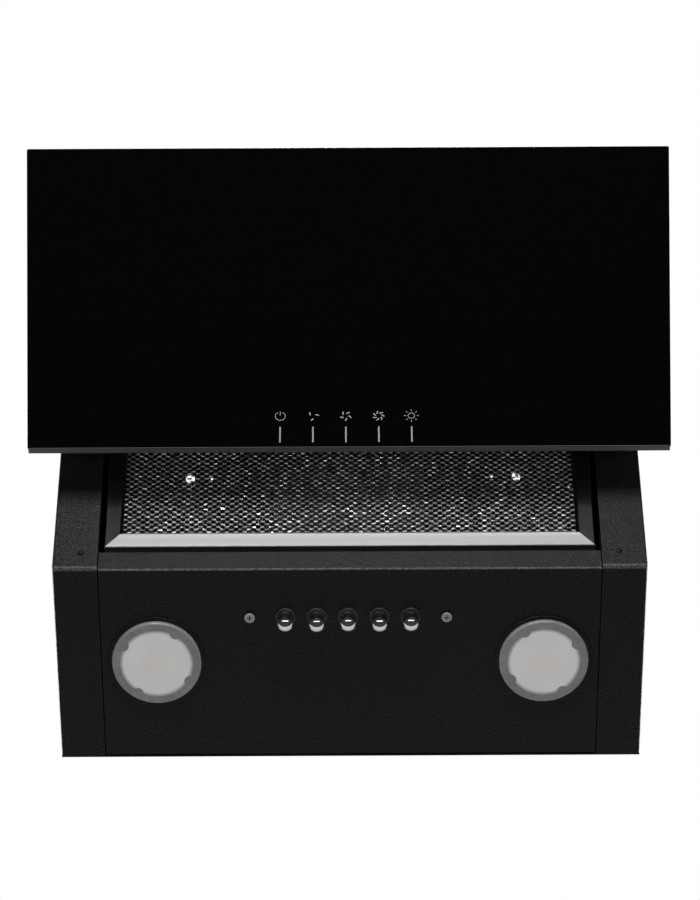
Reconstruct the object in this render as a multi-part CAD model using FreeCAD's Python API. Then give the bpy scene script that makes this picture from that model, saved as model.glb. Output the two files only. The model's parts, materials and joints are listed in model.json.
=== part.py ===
import FreeCAD, Part
import math
import os
from FreeCAD import Vector

# Under cabinet range hood with a slanted glass front, modelled in millimetres.
# World directions: +X to the right of someone facing the hood, -Y to the front, +Z up.
# Every piece is modelled with the wall at y = 0 and the bottom face at z = 0, then saved
# with the origin moved up the wall face to the middle of the wall fixing holes.

# ---- driving dimensions ----
BODY_WIDTH = 470.0
BODY_HEIGHT = 316.0
BOTTOM_DEPTH = 169.0
FRONT_ANGLE = 56.3          # slope of the front face above horizontal, degrees
SHEET = 1.2                 # steel sheet
FOLD_RADIUS = 1.6
FLANGE_RADIUS = 2.4         # outside of the fold between the bottom and the front flange
CHEEK_WIDTH = 35.5
CHEEK_LIP = 15.0            # depth of the cheek's inner return
SEAM = 0.8                  # gap between the centre panel and a cheek
FIXING_HEIGHT = 200.0       # wall fixing pattern's centre above the bottom face
WALL_SPACING_X = 400.0
WALL_SPACING_Z = 180.0
WALL_HOLE_RADIUS = 3.0
CABINET_SPACING_X = 380.0
CABINET_SPACING_Y = 220.0
CABINET_HOLE_RADIUS = 2.75
CABINET_HOLES_Y = -160.0

# bottom panel
FLANGE_STEP = 2.0           # the centre flange lies this far behind the cheeks' front
FLANGE_LENGTH = 16.5
LAMP_X = 154.7
LAMP_Y = -86.5
LAMP_HOLE_RADIUS = 36.5
LAMP_RING_RADIUS = 35.8
LAMP_STEP_RADIUS = 39.2     # pressed rim round each lamp hole
LAMP_STEP = 1.0
LAMP_FACE = -4.4            # lowest point of a lamp
LENS_FACE = -4.2
LENS_RADIUS = 29.3
BUTTON_Y = -125.0
BUTTON_X = -1.5             # middle of the button row
BUTTON_PITCH = 24.9
BUTTON_COUNT = 5
BUTTON_REACH = (16.6, 17.6, 16.6, 17.6, 16.6)
BUTTON_DOME = 8.5           # radius of a cap's rounded end
BUTTON_RADIUS = 6.2
BEZEL_RADIUS = 8.2
BUTTON_GAP = 0.3
STEM_RADIUS = 3.0
RUNNING_GAP = 0.06
SCREW_X = 78.3
SCREW_RADIUS = 2.0
SCREW_LENGTH = 9.0
SCREW_HEAD_RADIUS = 4.2
SCREW_HEAD_HEIGHT = 2.2
SCREW_SLOT_HALF_LENGTH = 2.4
SCREW_SLOT_HALF_WIDTH = 0.45
BEZEL_BARREL = 7.4
BEZEL_LIP = 1.4
BEZEL_BARREL_LENGTH = 8.0
STEM_START = 3.5
STEM_LENGTH = 17.5
SWITCH_HALF_LENGTH = 62.0
SWITCH_HALF_DEPTH = 9.0
SWITCH_BOTTOM = 12.0
SWITCH_TOP = 36.0
SWITCH_BORE_DEPTH = 15.0
SWITCH_STEP_Z = 30.0
SWITCH_STEP_DEPTH = 3.0
TERMINAL_HALF_WIDTH = 3.0
TERMINAL_HEIGHT = 6.0
BRACKET_HALF_LENGTH = 70.0
BRACKET_FOOT_END = 86.0
LED_COUNT = 8
LED_SIZE = 4.0
LED_CIRCLE = 17.0
LAMP_BOARD_Z = 10.0
LAMP_BOARD_THICKNESS = 1.6
LAMP_CUP_DEPTH = 22.0
LAMP_CUP_WALL = 1.4
LAMP_CUP_FLANGE = 4.0
TAB_COUNT = 4
TAB_TURN = 59.0             # first clip tab's angle round the lamp, degrees
TAB_RADIUS = 4.6
TAB_CENTRE = 30.6           # distance of a lobe's centre from the lamp's
TRAY_FRONT = 158.0
TRAY_HEIGHT = 62.0
RIVET_X = 213.0
RIVET_ALONG = 13.5
RIVET_BALL = 3.4            # radius of the ball a rivet's dome is cut from
RIVET_SINK = 2.4            # depth of the ball's centre below the cheek's face

# grease filter, measured along the slope from the fold
FILTER_WIDTH = 390.4
FILTER_START = 19.8
FILTER_LENGTH = 270.0
FILTER_FACE = -1.5          # height of the filter's face above the cheeks' front
FILTER_DEPTH = 9.0
RAIL_WIDTH = 14.5
RAIL_FLAT = 12.2
MESH_DEPTH = 5.0
GROOVE_EDGE = 4.0
GROOVE_TOP = 3.0
MITRE_REACH = 30.0
MITRE_GAP = 0.08
MESH_CLEARANCE = 0.5
PULL_HALF_WIDTH = 22.0
PULL_BASE_NEAR = 11.0       # pull's base, measured back from the filter's upper end
PULL_BASE_FAR = 2.0
PULL_HEIGHT = 12.0
SPRING_SHEET = 0.6
SPRING_LOW = -7.0
SPRING_HIGH = -3.0
SPRING_FOOT_HALF = 18.0
SPRING_BOW_HALF = 3.0
SPRING_BOW = 3.9            # how far a side spring stands out
SPRING_PLACES = (165.0, 240.0)

# glass front panel, parallel to the front face
GLASS_WIDTH = 509.0         # along the lower edge
GLASS_TOP_WIDTH = 556.0     # along the upper edge
GLASS_START = 81.0
GLASS_LENGTH = 316.0
GLASS_FACE = 48.0
GLASS_THICKNESS = 5.0
TRIM_THICKNESS = 2.0
TRIM_WIDTH = 12.0
TRIM_INSET = 0.3
GLASS_CORNER_RADIUS = 1.5
GLASS_ARRIS = 0.5
BACKING_HALF_WIDTH = 226.0
BACKING_START = 116.0
BACKING_END = 378.0
BACKING_FOOT = 38.0
HINGE_X = 170.0
HINGE_ALONG = 372.0
HINGE_OUT = 28.0
HINGE_PIN_RADIUS = 3.0
HINGE_PIN_LENGTH = 18.0
HINGE_PIN_HEAD = 1.5
HINGE_SHEET = 2.0
HINGE_EAR_RADIUS = 5.0
HINGE_BRACKET_HALF = 7.0
HINGE_BRACKET_BELOW = 14.0
ARM_HALF_WIDTH = 3.0
ARM_LENGTH = 42.0
ARM_THICKNESS = 4.0
ARM_EYE_RADIUS = 7.0
ARM_LUG_ABOVE = 3.5
CATCH_X = 214.0
CATCH_ALONG = 150.0
CATCH_HEIGHT = 35.0
CATCH_POST_RADIUS = 6.0
CATCH_FOOT_RADIUS = 9.0
CATCH_FOOT_HEIGHT = 3.0
MAGNET_RADIUS = 5.0
MAGNET_THICKNESS = 4.0
STRIKE_RADIUS = 7.0
STRIKE_START = 39.3         # leaves a gap of 0.3 to the magnet
BOARD_HALF_LENGTH = 80.0
BOARD_NEAR = 14.0
BOARD_FAR = 32.0
BOARD_THICKNESS = 1.6

# blower
FAN_Y = -150.0
FAN_Z = 190.0
WHEEL_RADIUS = 62.0
WHEEL_INNER_RADIUS = 50.0
WHEEL_HALF_WIDTH = 50.0
WHEEL_DISC = 2.5
WHEEL_BAND = 3.0            # length of each end ring
WHEEL_HUB_RADIUS = 13.0
WHEEL_HUB_START = -4.0
WHEEL_HUB_LENGTH = 22.0
BLADE_COUNT = 32
BLADE_SHEET = 1.2
BLADE_TURN = 28.0
SCROLL_Y = -140.0
SCROLL_RADIUS = 88.0
SCROLL_HALF_WIDTH = 62.0
SCROLL_WALL = 1.5
OUTLET_HALF = 55.0
INLET_RADIUS = 48.0
MOTOR_RADIUS = 36.0
MOTOR_LEFT = -70.0
MOTOR_RIGHT = -8.0
MOTOR_WALL = 3.0
MOTOR_CAP = 6.0             # thickness of the can's ends
SHAFT_RADIUS = 4.0
SHAFT_END = 16.0
BEARING_RADIUS = 11.0
ROTOR_RADIUS = 19.5
ROTOR_START = -56.0
ROTOR_LENGTH = 34.0
STATOR_BORE = 20.2
STATOR_RADIUS = 32.9
STATOR_START = -60.0
STATOR_LENGTH = 42.0
SPIDER_ARMS = 3
SPIDER_SHEET = 2.0
SPIDER_RADIUS = 30.0
SPIDER_BORE = 12.0
SPIDER_ARM_HALF_WIDTH = 7.0
SPIDER_ARM_START = 25.0
SPIDER_ARM_END = 62.0
GROMMET_RADIUS = 5.5
GROMMET_CIRCLE = 56.0

# outlet collar
COLLAR_RADIUS = 60.0
COLLAR_WALL = 1.5
COLLAR_HEIGHT = 42.0
COLLAR_FLANGE = 12.0
COLLAR_FLANGE_SHEET = 2.0
COLLAR_STOP_Z = 3.0
COLLAR_STOP_HEIGHT = 2.2
COLLAR_STOP_WIDTH = 4.0
FLAP_RADIUS = 57.3
FLAP_SHEET = 1.0
FLAP_BASE = 5.5             # flap plate above the top plate
FLAP_PIN_RISE = 2.5         # pin's axis above the flap plate
FLAP_PIN_RADIUS = 1.5
FLAP_CLEARANCE = 4.2        # gap between the pin's axis and the flap plate
KNUCKLE_RADIUS = 3.0
KNUCKLE_LENGTH = 19.0
FRONT_KNUCKLES = (-41.0, 1.0)
BACK_KNUCKLES = (-20.0, 22.0)

# mains lead gland
GLAND_X = 150.0
GLAND_Y = -30.0
GLAND_RADIUS = 8.0
GLAND_HEX_RADIUS = 13.0
GLAND_HEX_HEIGHT = 6.0
GLAND_NUT_RADIUS = 10.5
GLAND_NUT_HEIGHT = 10.0
GLAND_BORE = 4.0
GLAND_THREAD = 10.0         # length of the threaded body below the top plate

# junction box and motor capacitor on the back plate
JUNCTION_LEFT = 92.0
JUNCTION_SIZE = 80.0
JUNCTION_BOTTOM = 205.0
JUNCTION_DEPTH = 52.0
JUNCTION_WALL = 2.0
RIB_COUNT = 6
RIB_PITCH = 12.0
RIB_WIDTH = 4.0
RIB_MARGIN = 10.0
CAPACITOR_X = 130.0
CAPACITOR_Y = -20.0
CAPACITOR_BOTTOM = 120.0
CAPACITOR_RADIUS = 17.0
CAPACITOR_LENGTH = 60.0
TERMINAL_PLACES = (-8.0, 7.0)

HALF_WIDTH = BODY_WIDTH / 2
CENTRE_HALF = HALF_WIDTH - CHEEK_WIDTH
SLOPE_COS = math.cos(math.radians(FRONT_ANGLE))
SLOPE_SIN = math.sin(math.radians(FRONT_ANGLE))
TOP_DEPTH = BOTTOM_DEPTH + BODY_HEIGHT * SLOPE_COS / SLOPE_SIN
X_AXIS = Vector(1, 0, 0)
Y_AXIS = Vector(0, 1, 0)
Z_AXIS = Vector(0, 0, 1)


# ---- helpers ----
def box(x0, x1, y0, y1, z0, z1):
    """Block between two corners."""
    return Part.makeBox(x1 - x0, y1 - y0, z1 - z0, Vector(x0, y0, z0))


def rod(radius, start, axis, length):
    """Round bar from a start point."""
    return Part.makeCylinder(radius, length, Vector(*start), axis)


def tube(outer, inner, start, axis, length):
    """Round bar with a hole through it."""
    return rod(outer, start, axis, length).cut(rod(inner, start, axis, length))


def prism(points, x0, x1):
    """Side outline of (y, z) points pulled along X."""
    outline = [Vector(x0, y, z) for y, z in points]
    face = Part.Face(Part.makePolygon(outline + outline[:1]))
    return face.extrude(Vector(x1 - x0, 0, 0))


def plate(points, z0, z1):
    """Outline of (x, y) points pulled along Z."""
    outline = [Vector(x, y, z0) for x, y in points]
    face = Part.Face(Part.makePolygon(outline + outline[:1]))
    return face.extrude(Vector(0, 0, z1 - z0))


def on_front(shape):
    """Move a shape from (across, along the slope, outwards) onto the front face."""
    placed = shape.copy()
    turn = FreeCAD.Rotation(X_AXIS, 180 - FRONT_ANGLE)
    placed.Placement = FreeCAD.Placement(Vector(0, -BOTTOM_DEPTH, 0), turn).multiply(placed.Placement)
    return placed


def mirrored(shape):
    """The same shape on the other side of the middle plane."""
    return shape.mirror(Vector(0, 0, 0), X_AXIS)


def round_edges(shape, radius, wanted):
    """Round the edges whose middle point passes the test."""
    edges = [edge for edge in shape.Edges if wanted(edge.CenterOfMass)]
    return shape.makeFillet(radius, edges)


def front_y(height, inward=0.0):
    """Y of the front face at a height, moved inwards square to the face."""
    return -BOTTOM_DEPTH - (height * SLOPE_COS - inward) / SLOPE_SIN


def side_outline(inset, top, back):
    """Side view of the body, drawn in from its bottom and front faces."""
    return [
        (back, inset),
        (front_y(inset, inset), inset),
        (front_y(top, inset), top),
        (back, top),
    ]


# ---- body sheet metal ----
def make_cheek():
    """Right side cheek: outer wall, front and bottom strips, folded inner returns."""
    top = BODY_HEIGHT - SHEET
    outer = prism(side_outline(0, top, -SHEET), CENTRE_HALF, HALF_WIDTH)

    def is_fold(middle):
        at_side = middle.x > HALF_WIDTH - 0.1
        at_bottom = middle.z < 0.1 and middle.y < -2 * SHEET
        on_slope = abs(middle.y - front_y(middle.z)) < 0.1 and 1 < middle.z < top - 1
        at_front_fold = at_bottom and abs(middle.y + BOTTOM_DEPTH) < 0.1
        return (at_side and (at_bottom or on_slope)) or at_front_fold

    cheek = round_edges(outer, FOLD_RADIUS, is_fold)
    clear_top = top + SHEET
    cheek = cheek.cut(prism(side_outline(SHEET, clear_top, 0), CENTRE_HALF + SHEET, HALF_WIDTH - SHEET))
    inner = prism(side_outline(CHEEK_LIP, clear_top, 0), CENTRE_HALF - 1, CENTRE_HALF + 2 * SHEET)
    return cheek.cut(inner)


def make_back_plate():
    """Wall side plate with the four wall fixing holes."""
    back = box(-HALF_WIDTH, HALF_WIDTH, -SHEET, 0, 0, BODY_HEIGHT - SHEET)
    for side in (-1, 1):
        for level in (-1, 1):
            x = side * WALL_SPACING_X / 2
            z = FIXING_HEIGHT + level * WALL_SPACING_Z / 2
            back = back.cut(rod(WALL_HOLE_RADIUS, (x, -2 * SHEET, z), Y_AXIS, 3 * SHEET))
    return back


def make_top_plate():
    """Top plate with the outlet, cabinet fixing holes and the cable gland's hole."""
    z0 = BODY_HEIGHT - SHEET
    top = box(-HALF_WIDTH, HALF_WIDTH, -TOP_DEPTH, 0, z0, BODY_HEIGHT)
    top = top.cut(rod(COLLAR_RADIUS - COLLAR_WALL, (0, SCROLL_Y, z0 - 1), Z_AXIS, 3 * SHEET))
    top = top.cut(rod(GLAND_RADIUS, (GLAND_X, GLAND_Y, z0 - 1), Z_AXIS, 3 * SHEET))
    for side in (-1, 1):
        for depth in (-1, 1):
            x = side * CABINET_SPACING_X / 2
            y = CABINET_HOLES_Y + depth * CABINET_SPACING_Y / 2
            top = top.cut(rod(CABINET_HOLE_RADIUS, (x, y, z0 - 1), Z_AXIS, 3 * SHEET))
    return top


def make_bottom_panel():
    """Centre bottom panel with its front flange and the lamp, button and screw holes."""
    half = CENTRE_HALF - SEAM
    back = -2 * SHEET
    fold_y = -BOTTOM_DEPTH + FLANGE_STEP / SLOPE_SIN
    rise = FLANGE_LENGTH * SLOPE_SIN
    run = FLANGE_LENGTH * SLOPE_COS
    inner_fold = fold_y + SHEET * (1 - SLOPE_COS) / SLOPE_SIN
    outline = [
        (back, 0),
        (fold_y, 0),
        (fold_y - run, rise),
        (fold_y - run + SHEET * SLOPE_SIN, rise + SHEET * SLOPE_COS),
        (inner_fold, SHEET),
        (back, SHEET),
    ]
    panel = prism(outline, -half, half)
    panel = round_edges(panel, FLANGE_RADIUS, lambda p: abs(p.y - fold_y) < 0.05 and p.z < 0.05)
    for side in (-1, 1):
        step = rod(LAMP_STEP_RADIUS, (side * LAMP_X, LAMP_Y, -LAMP_STEP), Z_AXIS, SHEET)
        panel = panel.fuse(round_edges(step, LAMP_STEP / 2, lambda p: p.z < -LAMP_STEP / 2))
        lamp = (side * LAMP_X, LAMP_Y, -1)
        panel = panel.cut(rod(LAMP_HOLE_RADIUS, lamp, Z_AXIS, 4))
        panel = panel.cut(rod(SCREW_RADIUS + 0.3, (BUTTON_X + side * SCREW_X, BUTTON_Y, -1), Z_AXIS, 4))
    for x in button_places():
        panel = panel.cut(rod(BEZEL_BARREL + 0.2, (x, BUTTON_Y, -1), Z_AXIS, 4))
    return panel


def make_front_upper_panel():
    """Slanted plate above the filter opening, with a stiffening return."""
    start = FILTER_START + FILTER_LENGTH + 3
    end = BODY_HEIGHT / SLOPE_SIN + 10
    half = CENTRE_HALF - SEAM
    panel = box(-half, half, start, end, -SHEET, 0)
    panel = panel.fuse(box(-half, half, start, start + SHEET, -12, -SHEET))
    above = box(-HALF_WIDTH, HALF_WIDTH, -2 * TOP_DEPTH, 0, BODY_HEIGHT - SHEET, BODY_HEIGHT * 2)
    return on_front(panel).cut(above)


def make_inner_tray():
    """Folded tray that keeps the lamps and switches out of the air path."""
    half = CENTRE_HALF - 2
    floor = box(-half, half, -TRAY_FRONT, -2 * SHEET, TRAY_HEIGHT, TRAY_HEIGHT + SHEET)
    wall = box(-half, half, -TRAY_FRONT, -TRAY_FRONT + SHEET, SHEET, TRAY_HEIGHT)
    return floor.fuse(wall)


def make_cheek_rivets():
    """One domed rivet low on the front of each cheek."""
    rivet = Part.makeSphere(RIVET_BALL, Vector(0, 0, -RIVET_SINK))
    rivet = rivet.common(box(-RIVET_BALL, RIVET_BALL, -RIVET_BALL, RIVET_BALL, 0, RIVET_BALL))
    return [on_front(rivet.translated(Vector(side * RIVET_X, RIVET_ALONG, 0))) for side in (-1, 1)]


# ---- lamps ----

def make_lamp_ring(side):
    """Smoky rim of a lamp with four round lobes that reach in over the lens."""
    rim = rod(LAMP_RING_RADIUS, (0, 0, LAMP_FACE), Z_AXIS, 8)
    rim = round_edges(rim, 1.6, lambda p: p.z < LAMP_FACE + 0.1)
    rim = rim.cut(lens_outline(side, LAMP_FACE - 1, 10))
    return rim.translated(Vector(side * LAMP_X, LAMP_Y, 0))


def lens_outline(side, start, length):
    """Round lens block, centred, with four bites taken out for the rim's lobes."""
    block = rod(LENS_RADIUS, (0, 0, start), Z_AXIS, length)
    for number in range(TAB_COUNT):
        angle = math.radians(TAB_TURN * side + number * 360 / TAB_COUNT)
        x = TAB_CENTRE * math.cos(angle)
        y = TAB_CENTRE * math.sin(angle)
        block = block.cut(rod(TAB_RADIUS, (x, y, start - 1), Z_AXIS, length + 2))
    return block


def make_lamp_lens(side):
    """Frosted lens disc."""
    return lens_outline(side, LENS_FACE, 7).translated(Vector(side * LAMP_X, LAMP_Y, 0))


def make_lamp_housing(side):
    """Pressed cup above the panel that holds a lamp."""
    centre = (side * LAMP_X, LAMP_Y, SHEET)
    hollow_radius = LAMP_HOLE_RADIUS + 1 - LAMP_CUP_WALL
    cup = rod(LAMP_HOLE_RADIUS + 1, centre, Z_AXIS, LAMP_CUP_DEPTH)
    cup = cup.cut(rod(hollow_radius, centre, Z_AXIS, LAMP_CUP_DEPTH - SHEET))
    rim = tube(LAMP_HOLE_RADIUS + 1 + LAMP_CUP_FLANGE, LAMP_HOLE_RADIUS + 0.5, centre, Z_AXIS, SHEET)
    return cup.fuse(rim)


def make_lamp_board(side):
    """Round circuit board with a ring of light emitters facing down."""
    x = side * LAMP_X
    board = rod(LENS_RADIUS + 3, (x, LAMP_Y, LAMP_BOARD_Z), Z_AXIS, LAMP_BOARD_THICKNESS)
    half = LED_SIZE / 2
    low = LAMP_BOARD_Z - 0.8
    high = LAMP_BOARD_Z + 0.2
    emitters = []
    for number in range(LED_COUNT):
        angle = math.radians(number * 360 / LED_COUNT)
        along = x + LED_CIRCLE * math.cos(angle)
        across = LAMP_Y + LED_CIRCLE * math.sin(angle)
        emitters.append(box(along - half, along + half, across - half, across + half, low, high))
    post_start = LAMP_BOARD_Z + LAMP_BOARD_THICKNESS - 0.2
    post_end = LAMP_CUP_DEPTH
    post = tube(7, 3, (x, LAMP_Y, post_start), Z_AXIS, post_end - post_start)
    return board.fuse(emitters + [post])


# ---- push buttons ----

def button_places():
    """X of each button, left to right."""
    middle = (BUTTON_COUNT - 1) / 2
    return [BUTTON_X + (number - middle) * BUTTON_PITCH for number in range(BUTTON_COUNT)]


def make_button_cap(number):
    """One round push button with its guide stem."""
    x = button_places()[number]
    reach = BUTTON_REACH[number]
    length = reach + STEM_START + 0.5
    dome_centre = BUTTON_DOME - reach
    envelope = Part.makeSphere(BUTTON_DOME, Vector(x, BUTTON_Y, dome_centre))
    envelope = envelope.fuse(rod(BUTTON_RADIUS + 1, (x, BUTTON_Y, dome_centre), Z_AXIS, length))
    cap = rod(BUTTON_RADIUS, (x, BUTTON_Y, -reach), Z_AXIS, length).common(envelope)
    return cap.fuse(rod(STEM_RADIUS, (x, BUTTON_Y, STEM_START), Z_AXIS, STEM_LENGTH))


def make_button_bezels():
    """Collars round the buttons."""
    bezels = []
    for x in button_places():
        flange = rod(BEZEL_RADIUS, (x, BUTTON_Y, -BEZEL_LIP), Z_AXIS, BEZEL_LIP)
        flange = round_edges(flange, 0.6, lambda p: p.z < 0.1 - BEZEL_LIP)
        barrel = rod(BEZEL_BARREL, (x, BUTTON_Y, -0.2), Z_AXIS, BEZEL_BARREL_LENGTH)
        bore = rod(BUTTON_RADIUS + BUTTON_GAP, (x, BUTTON_Y, -2 * BEZEL_LIP), Z_AXIS, 2 * BEZEL_BARREL_LENGTH)
        bezels.append(flange.fuse(barrel).cut(bore))
    return bezels


def make_switch_block():
    """Moulded switch body with a guide bore for each stem."""
    x0 = BUTTON_X - SWITCH_HALF_LENGTH
    x1 = BUTTON_X + SWITCH_HALF_LENGTH
    y0 = BUTTON_Y - SWITCH_HALF_DEPTH
    y1 = BUTTON_Y + SWITCH_HALF_DEPTH
    block = box(x0, x1, y0, y1, SWITCH_BOTTOM, SWITCH_TOP)
    block = block.cut(box(x0 - 1, x1 + 1, y0 - 1, y0 + SWITCH_STEP_DEPTH, SWITCH_STEP_Z, SWITCH_TOP + 1))
    for x in button_places():
        start = (x, BUTTON_Y, SWITCH_BOTTOM - 1)
        block = block.cut(rod(STEM_RADIUS + RUNNING_GAP, start, Z_AXIS, SWITCH_BORE_DEPTH + 1))
    for x in button_places():
        left = x - TERMINAL_HALF_WIDTH
        right = x + TERMINAL_HALF_WIDTH
        terminal = box(left, right, BUTTON_Y + 2, BUTTON_Y + 2.8, SWITCH_TOP, SWITCH_TOP + TERMINAL_HEIGHT)
        block = block.fuse(terminal)
    return block


def make_switch_bracket():
    """Folded strap that carries the switch block on the panel."""
    y0 = BUTTON_Y - SWITCH_HALF_DEPTH
    y1 = BUTTON_Y + SWITCH_HALF_DEPTH
    shelf = SWITCH_BOTTOM - SHEET
    inner = BRACKET_HALF_LENGTH - SHEET
    bracket = box(BUTTON_X - BRACKET_HALF_LENGTH, BUTTON_X + BRACKET_HALF_LENGTH, y0, y1, shelf, SWITCH_BOTTOM)
    for side in (-1, 1):
        leg = sorted((BUTTON_X + side * inner, BUTTON_X + side * BRACKET_HALF_LENGTH))
        foot = sorted((BUTTON_X + side * inner, BUTTON_X + side * BRACKET_FOOT_END))
        bracket = bracket.fuse(box(leg[0], leg[1], y0, y1, SHEET, shelf))
        bracket = bracket.fuse(box(foot[0], foot[1], y0, y1, SHEET, 2 * SHEET))
        hole = rod(SCREW_RADIUS + 0.2, (BUTTON_X + side * SCREW_X, BUTTON_Y, 0), Z_AXIS, 4)
        bracket = bracket.cut(hole)
    for x in button_places():
        bracket = bracket.cut(rod(STEM_RADIUS + 1.2, (x, BUTTON_Y, shelf - 1), Z_AXIS, 4))
    return bracket


def make_panel_screws():
    """Cross recessed pan head screws either side of the buttons."""
    long = SCREW_SLOT_HALF_LENGTH
    short = SCREW_SLOT_HALF_WIDTH
    screws = []
    for side in (-1, 1):
        x = BUTTON_X + side * SCREW_X
        head = rod(SCREW_HEAD_RADIUS, (x, BUTTON_Y, -SCREW_HEAD_HEIGHT), Z_AXIS, SCREW_HEAD_HEIGHT)
        head = round_edges(head, 0.8, lambda p: p.z < 0.1 - SCREW_HEAD_HEIGHT)
        screw = head.fuse(rod(SCREW_RADIUS, (x, BUTTON_Y, -0.5), Z_AXIS, SCREW_LENGTH))
        for half_x, half_y in ((long, short), (short, long)):
            slot = box(x - half_x, x + half_x, BUTTON_Y - half_y, BUTTON_Y + half_y, -3, -1)
            screw = screw.cut(slot)
        screws.append(screw)
    return screws


# ---- grease filter ----
def filter_ring():
    """Whole filter frame before it is mitred, in front face directions."""
    half = FILTER_WIDTH / 2
    end = FILTER_START + FILTER_LENGTH
    low = FILTER_FACE - FILTER_DEPTH
    ring = box(-half, half, FILTER_START, end, low, FILTER_FACE)
    ring = round_edges(ring, 1.2, lambda p: p.z > FILTER_FACE - 0.1)
    inner = half - RAIL_WIDTH
    opening = box(-inner, inner, FILTER_START + RAIL_WIDTH, end - RAIL_WIDTH, low - 1, FILTER_FACE + 1)
    ring = ring.cut(opening)
    flat = RAIL_FLAT
    slope = Part.makeLoft(
        [
            rectangle(half - flat, FILTER_START + flat, end - flat, FILTER_FACE + 0.01),
            rectangle(half - RAIL_WIDTH, FILTER_START + RAIL_WIDTH, end - RAIL_WIDTH, FILTER_FACE - 2),
        ],
        True,
        True,
    )
    ring = ring.cut(slope)
    groove = box(
        -half + GROOVE_EDGE, half - GROOVE_EDGE, FILTER_START + GROOVE_EDGE, end - GROOVE_EDGE,
        FILTER_FACE - GROOVE_TOP - MESH_DEPTH - 0.2, FILTER_FACE - GROOVE_TOP,
    )
    return ring.cut(groove)


def rectangle(half, start, end, height):
    """Closed rectangle wire at one height."""
    corners = [(-half, start), (half, start), (half, end), (-half, end), (-half, start)]
    return Part.makePolygon([Vector(x, y, height) for x, y in corners])


def make_filter_rail(name):
    """One mitred side of the filter frame."""
    half = FILTER_WIDTH / 2
    start = FILTER_START
    end = FILTER_START + FILTER_LENGTH
    near = half - MITRE_GAP
    far = half - MITRE_REACH - MITRE_GAP
    inside = half - MITRE_REACH
    corners = {
        "bottom": [(-near, start), (near, start), (far, start + MITRE_REACH), (-far, start + MITRE_REACH)],
        "top": [(-near, end), (-far, end - MITRE_REACH), (far, end - MITRE_REACH), (near, end)],
    }
    for side_name, side in (("left", -1), ("right", 1)):
        corners[side_name] = [
            (side * half, start + MITRE_GAP),
            (side * inside, start + MITRE_REACH + MITRE_GAP),
            (side * inside, end - MITRE_REACH - MITRE_GAP),
            (side * half, end - MITRE_GAP),
        ]
    wedge = plate(corners[name], FILTER_FACE - 2 * FILTER_DEPTH, FILTER_FACE + 5)
    return on_front(filter_ring().common(wedge))


def make_filter_mesh():
    """Pad of expanded metal layers held in the frame's groove."""
    edge = GROOVE_EDGE + MESH_CLEARANCE
    half = FILTER_WIDTH / 2 - edge
    end = FILTER_START + FILTER_LENGTH - edge
    top = FILTER_FACE - GROOVE_TOP - 0.1
    return on_front(box(-half, half, FILTER_START + edge, end, top - MESH_DEPTH, top))


def make_filter_pull():
    """Folded finger tab on the filter's upper rail."""
    end = FILTER_START + FILTER_LENGTH
    near = end - PULL_BASE_NEAR
    half = PULL_HALF_WIDTH
    base = box(-half, half, near, end - PULL_BASE_FAR, FILTER_FACE, FILTER_FACE + 1)
    tab = box(-half, half, near - 1, near, FILTER_FACE, FILTER_FACE + PULL_HEIGHT)
    return on_front(base.fuse(tab))


def make_filter_springs():
    """Leaf springs on the frame's sides that grip the opening."""
    half = FILTER_WIDTH / 2
    springs = []
    for side in (-1, 1):
        foot_x = sorted((side * half, side * (half + SPRING_SHEET)))
        bow_x = sorted((side * half, side * (half + SPRING_BOW)))
        for along in SPRING_PLACES:
            foot = box(*foot_x, along - SPRING_FOOT_HALF, along + SPRING_FOOT_HALF, SPRING_LOW, SPRING_HIGH)
            bow = box(*bow_x, along - SPRING_BOW_HALF, along + SPRING_BOW_HALF, SPRING_LOW, SPRING_HIGH)
            springs.append(on_front(foot.fuse(bow)))
    return springs


# ---- glass front ----
def glass_outline(inset):
    """Corners of the glass, which widens towards its upper edge, drawn in by an inset."""
    flare = (GLASS_TOP_WIDTH - GLASS_WIDTH) / (2 * GLASS_LENGTH)
    low = GLASS_START + inset
    high = GLASS_START + GLASS_LENGTH - inset
    low_half = GLASS_WIDTH / 2 + (low - GLASS_START) * flare - inset
    high_half = GLASS_WIDTH / 2 + (high - GLASS_START) * flare - inset
    return [(-low_half, low), (low_half, low), (high_half, high), (-high_half, high)]


def make_glass_panel():
    """Toughened glass front."""
    outline = glass_outline(0)
    pane = plate(outline, GLASS_FACE - GLASS_THICKNESS, GLASS_FACE)
    corners = [Vector(x, y, GLASS_FACE - GLASS_THICKNESS / 2) for x, y in outline]
    pane = round_edges(
        pane,
        GLASS_CORNER_RADIUS,
        lambda p: any((p - corner).Length < 0.1 for corner in corners),
    )
    return on_front(round_edges(pane, GLASS_ARRIS, lambda p: p.z > GLASS_FACE - 0.01))


def make_glass_trim():
    """Flat frame bonded behind the glass, just inside its edges."""
    top = GLASS_FACE - GLASS_THICKNESS
    outer = plate(glass_outline(TRIM_INSET), top - TRIM_THICKNESS, top)
    hole = plate(glass_outline(TRIM_INSET + TRIM_WIDTH), top - TRIM_THICKNESS - 1, top + 1)
    return on_front(outer.cut(hole))


def make_glass_backing():
    """Pressed steel tray bonded behind the glass, with folded edges."""
    top = GLASS_FACE - GLASS_THICKNESS
    skin = top - SHEET
    half = BACKING_HALF_WIDTH
    tray = box(-half, half, BACKING_START, BACKING_END, BACKING_FOOT, top)
    hollow = box(
        -half + SHEET, half - SHEET, BACKING_START + SHEET, BACKING_END - SHEET, BACKING_FOOT - 1, skin
    )
    return on_front(tray.cut(hollow))


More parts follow.
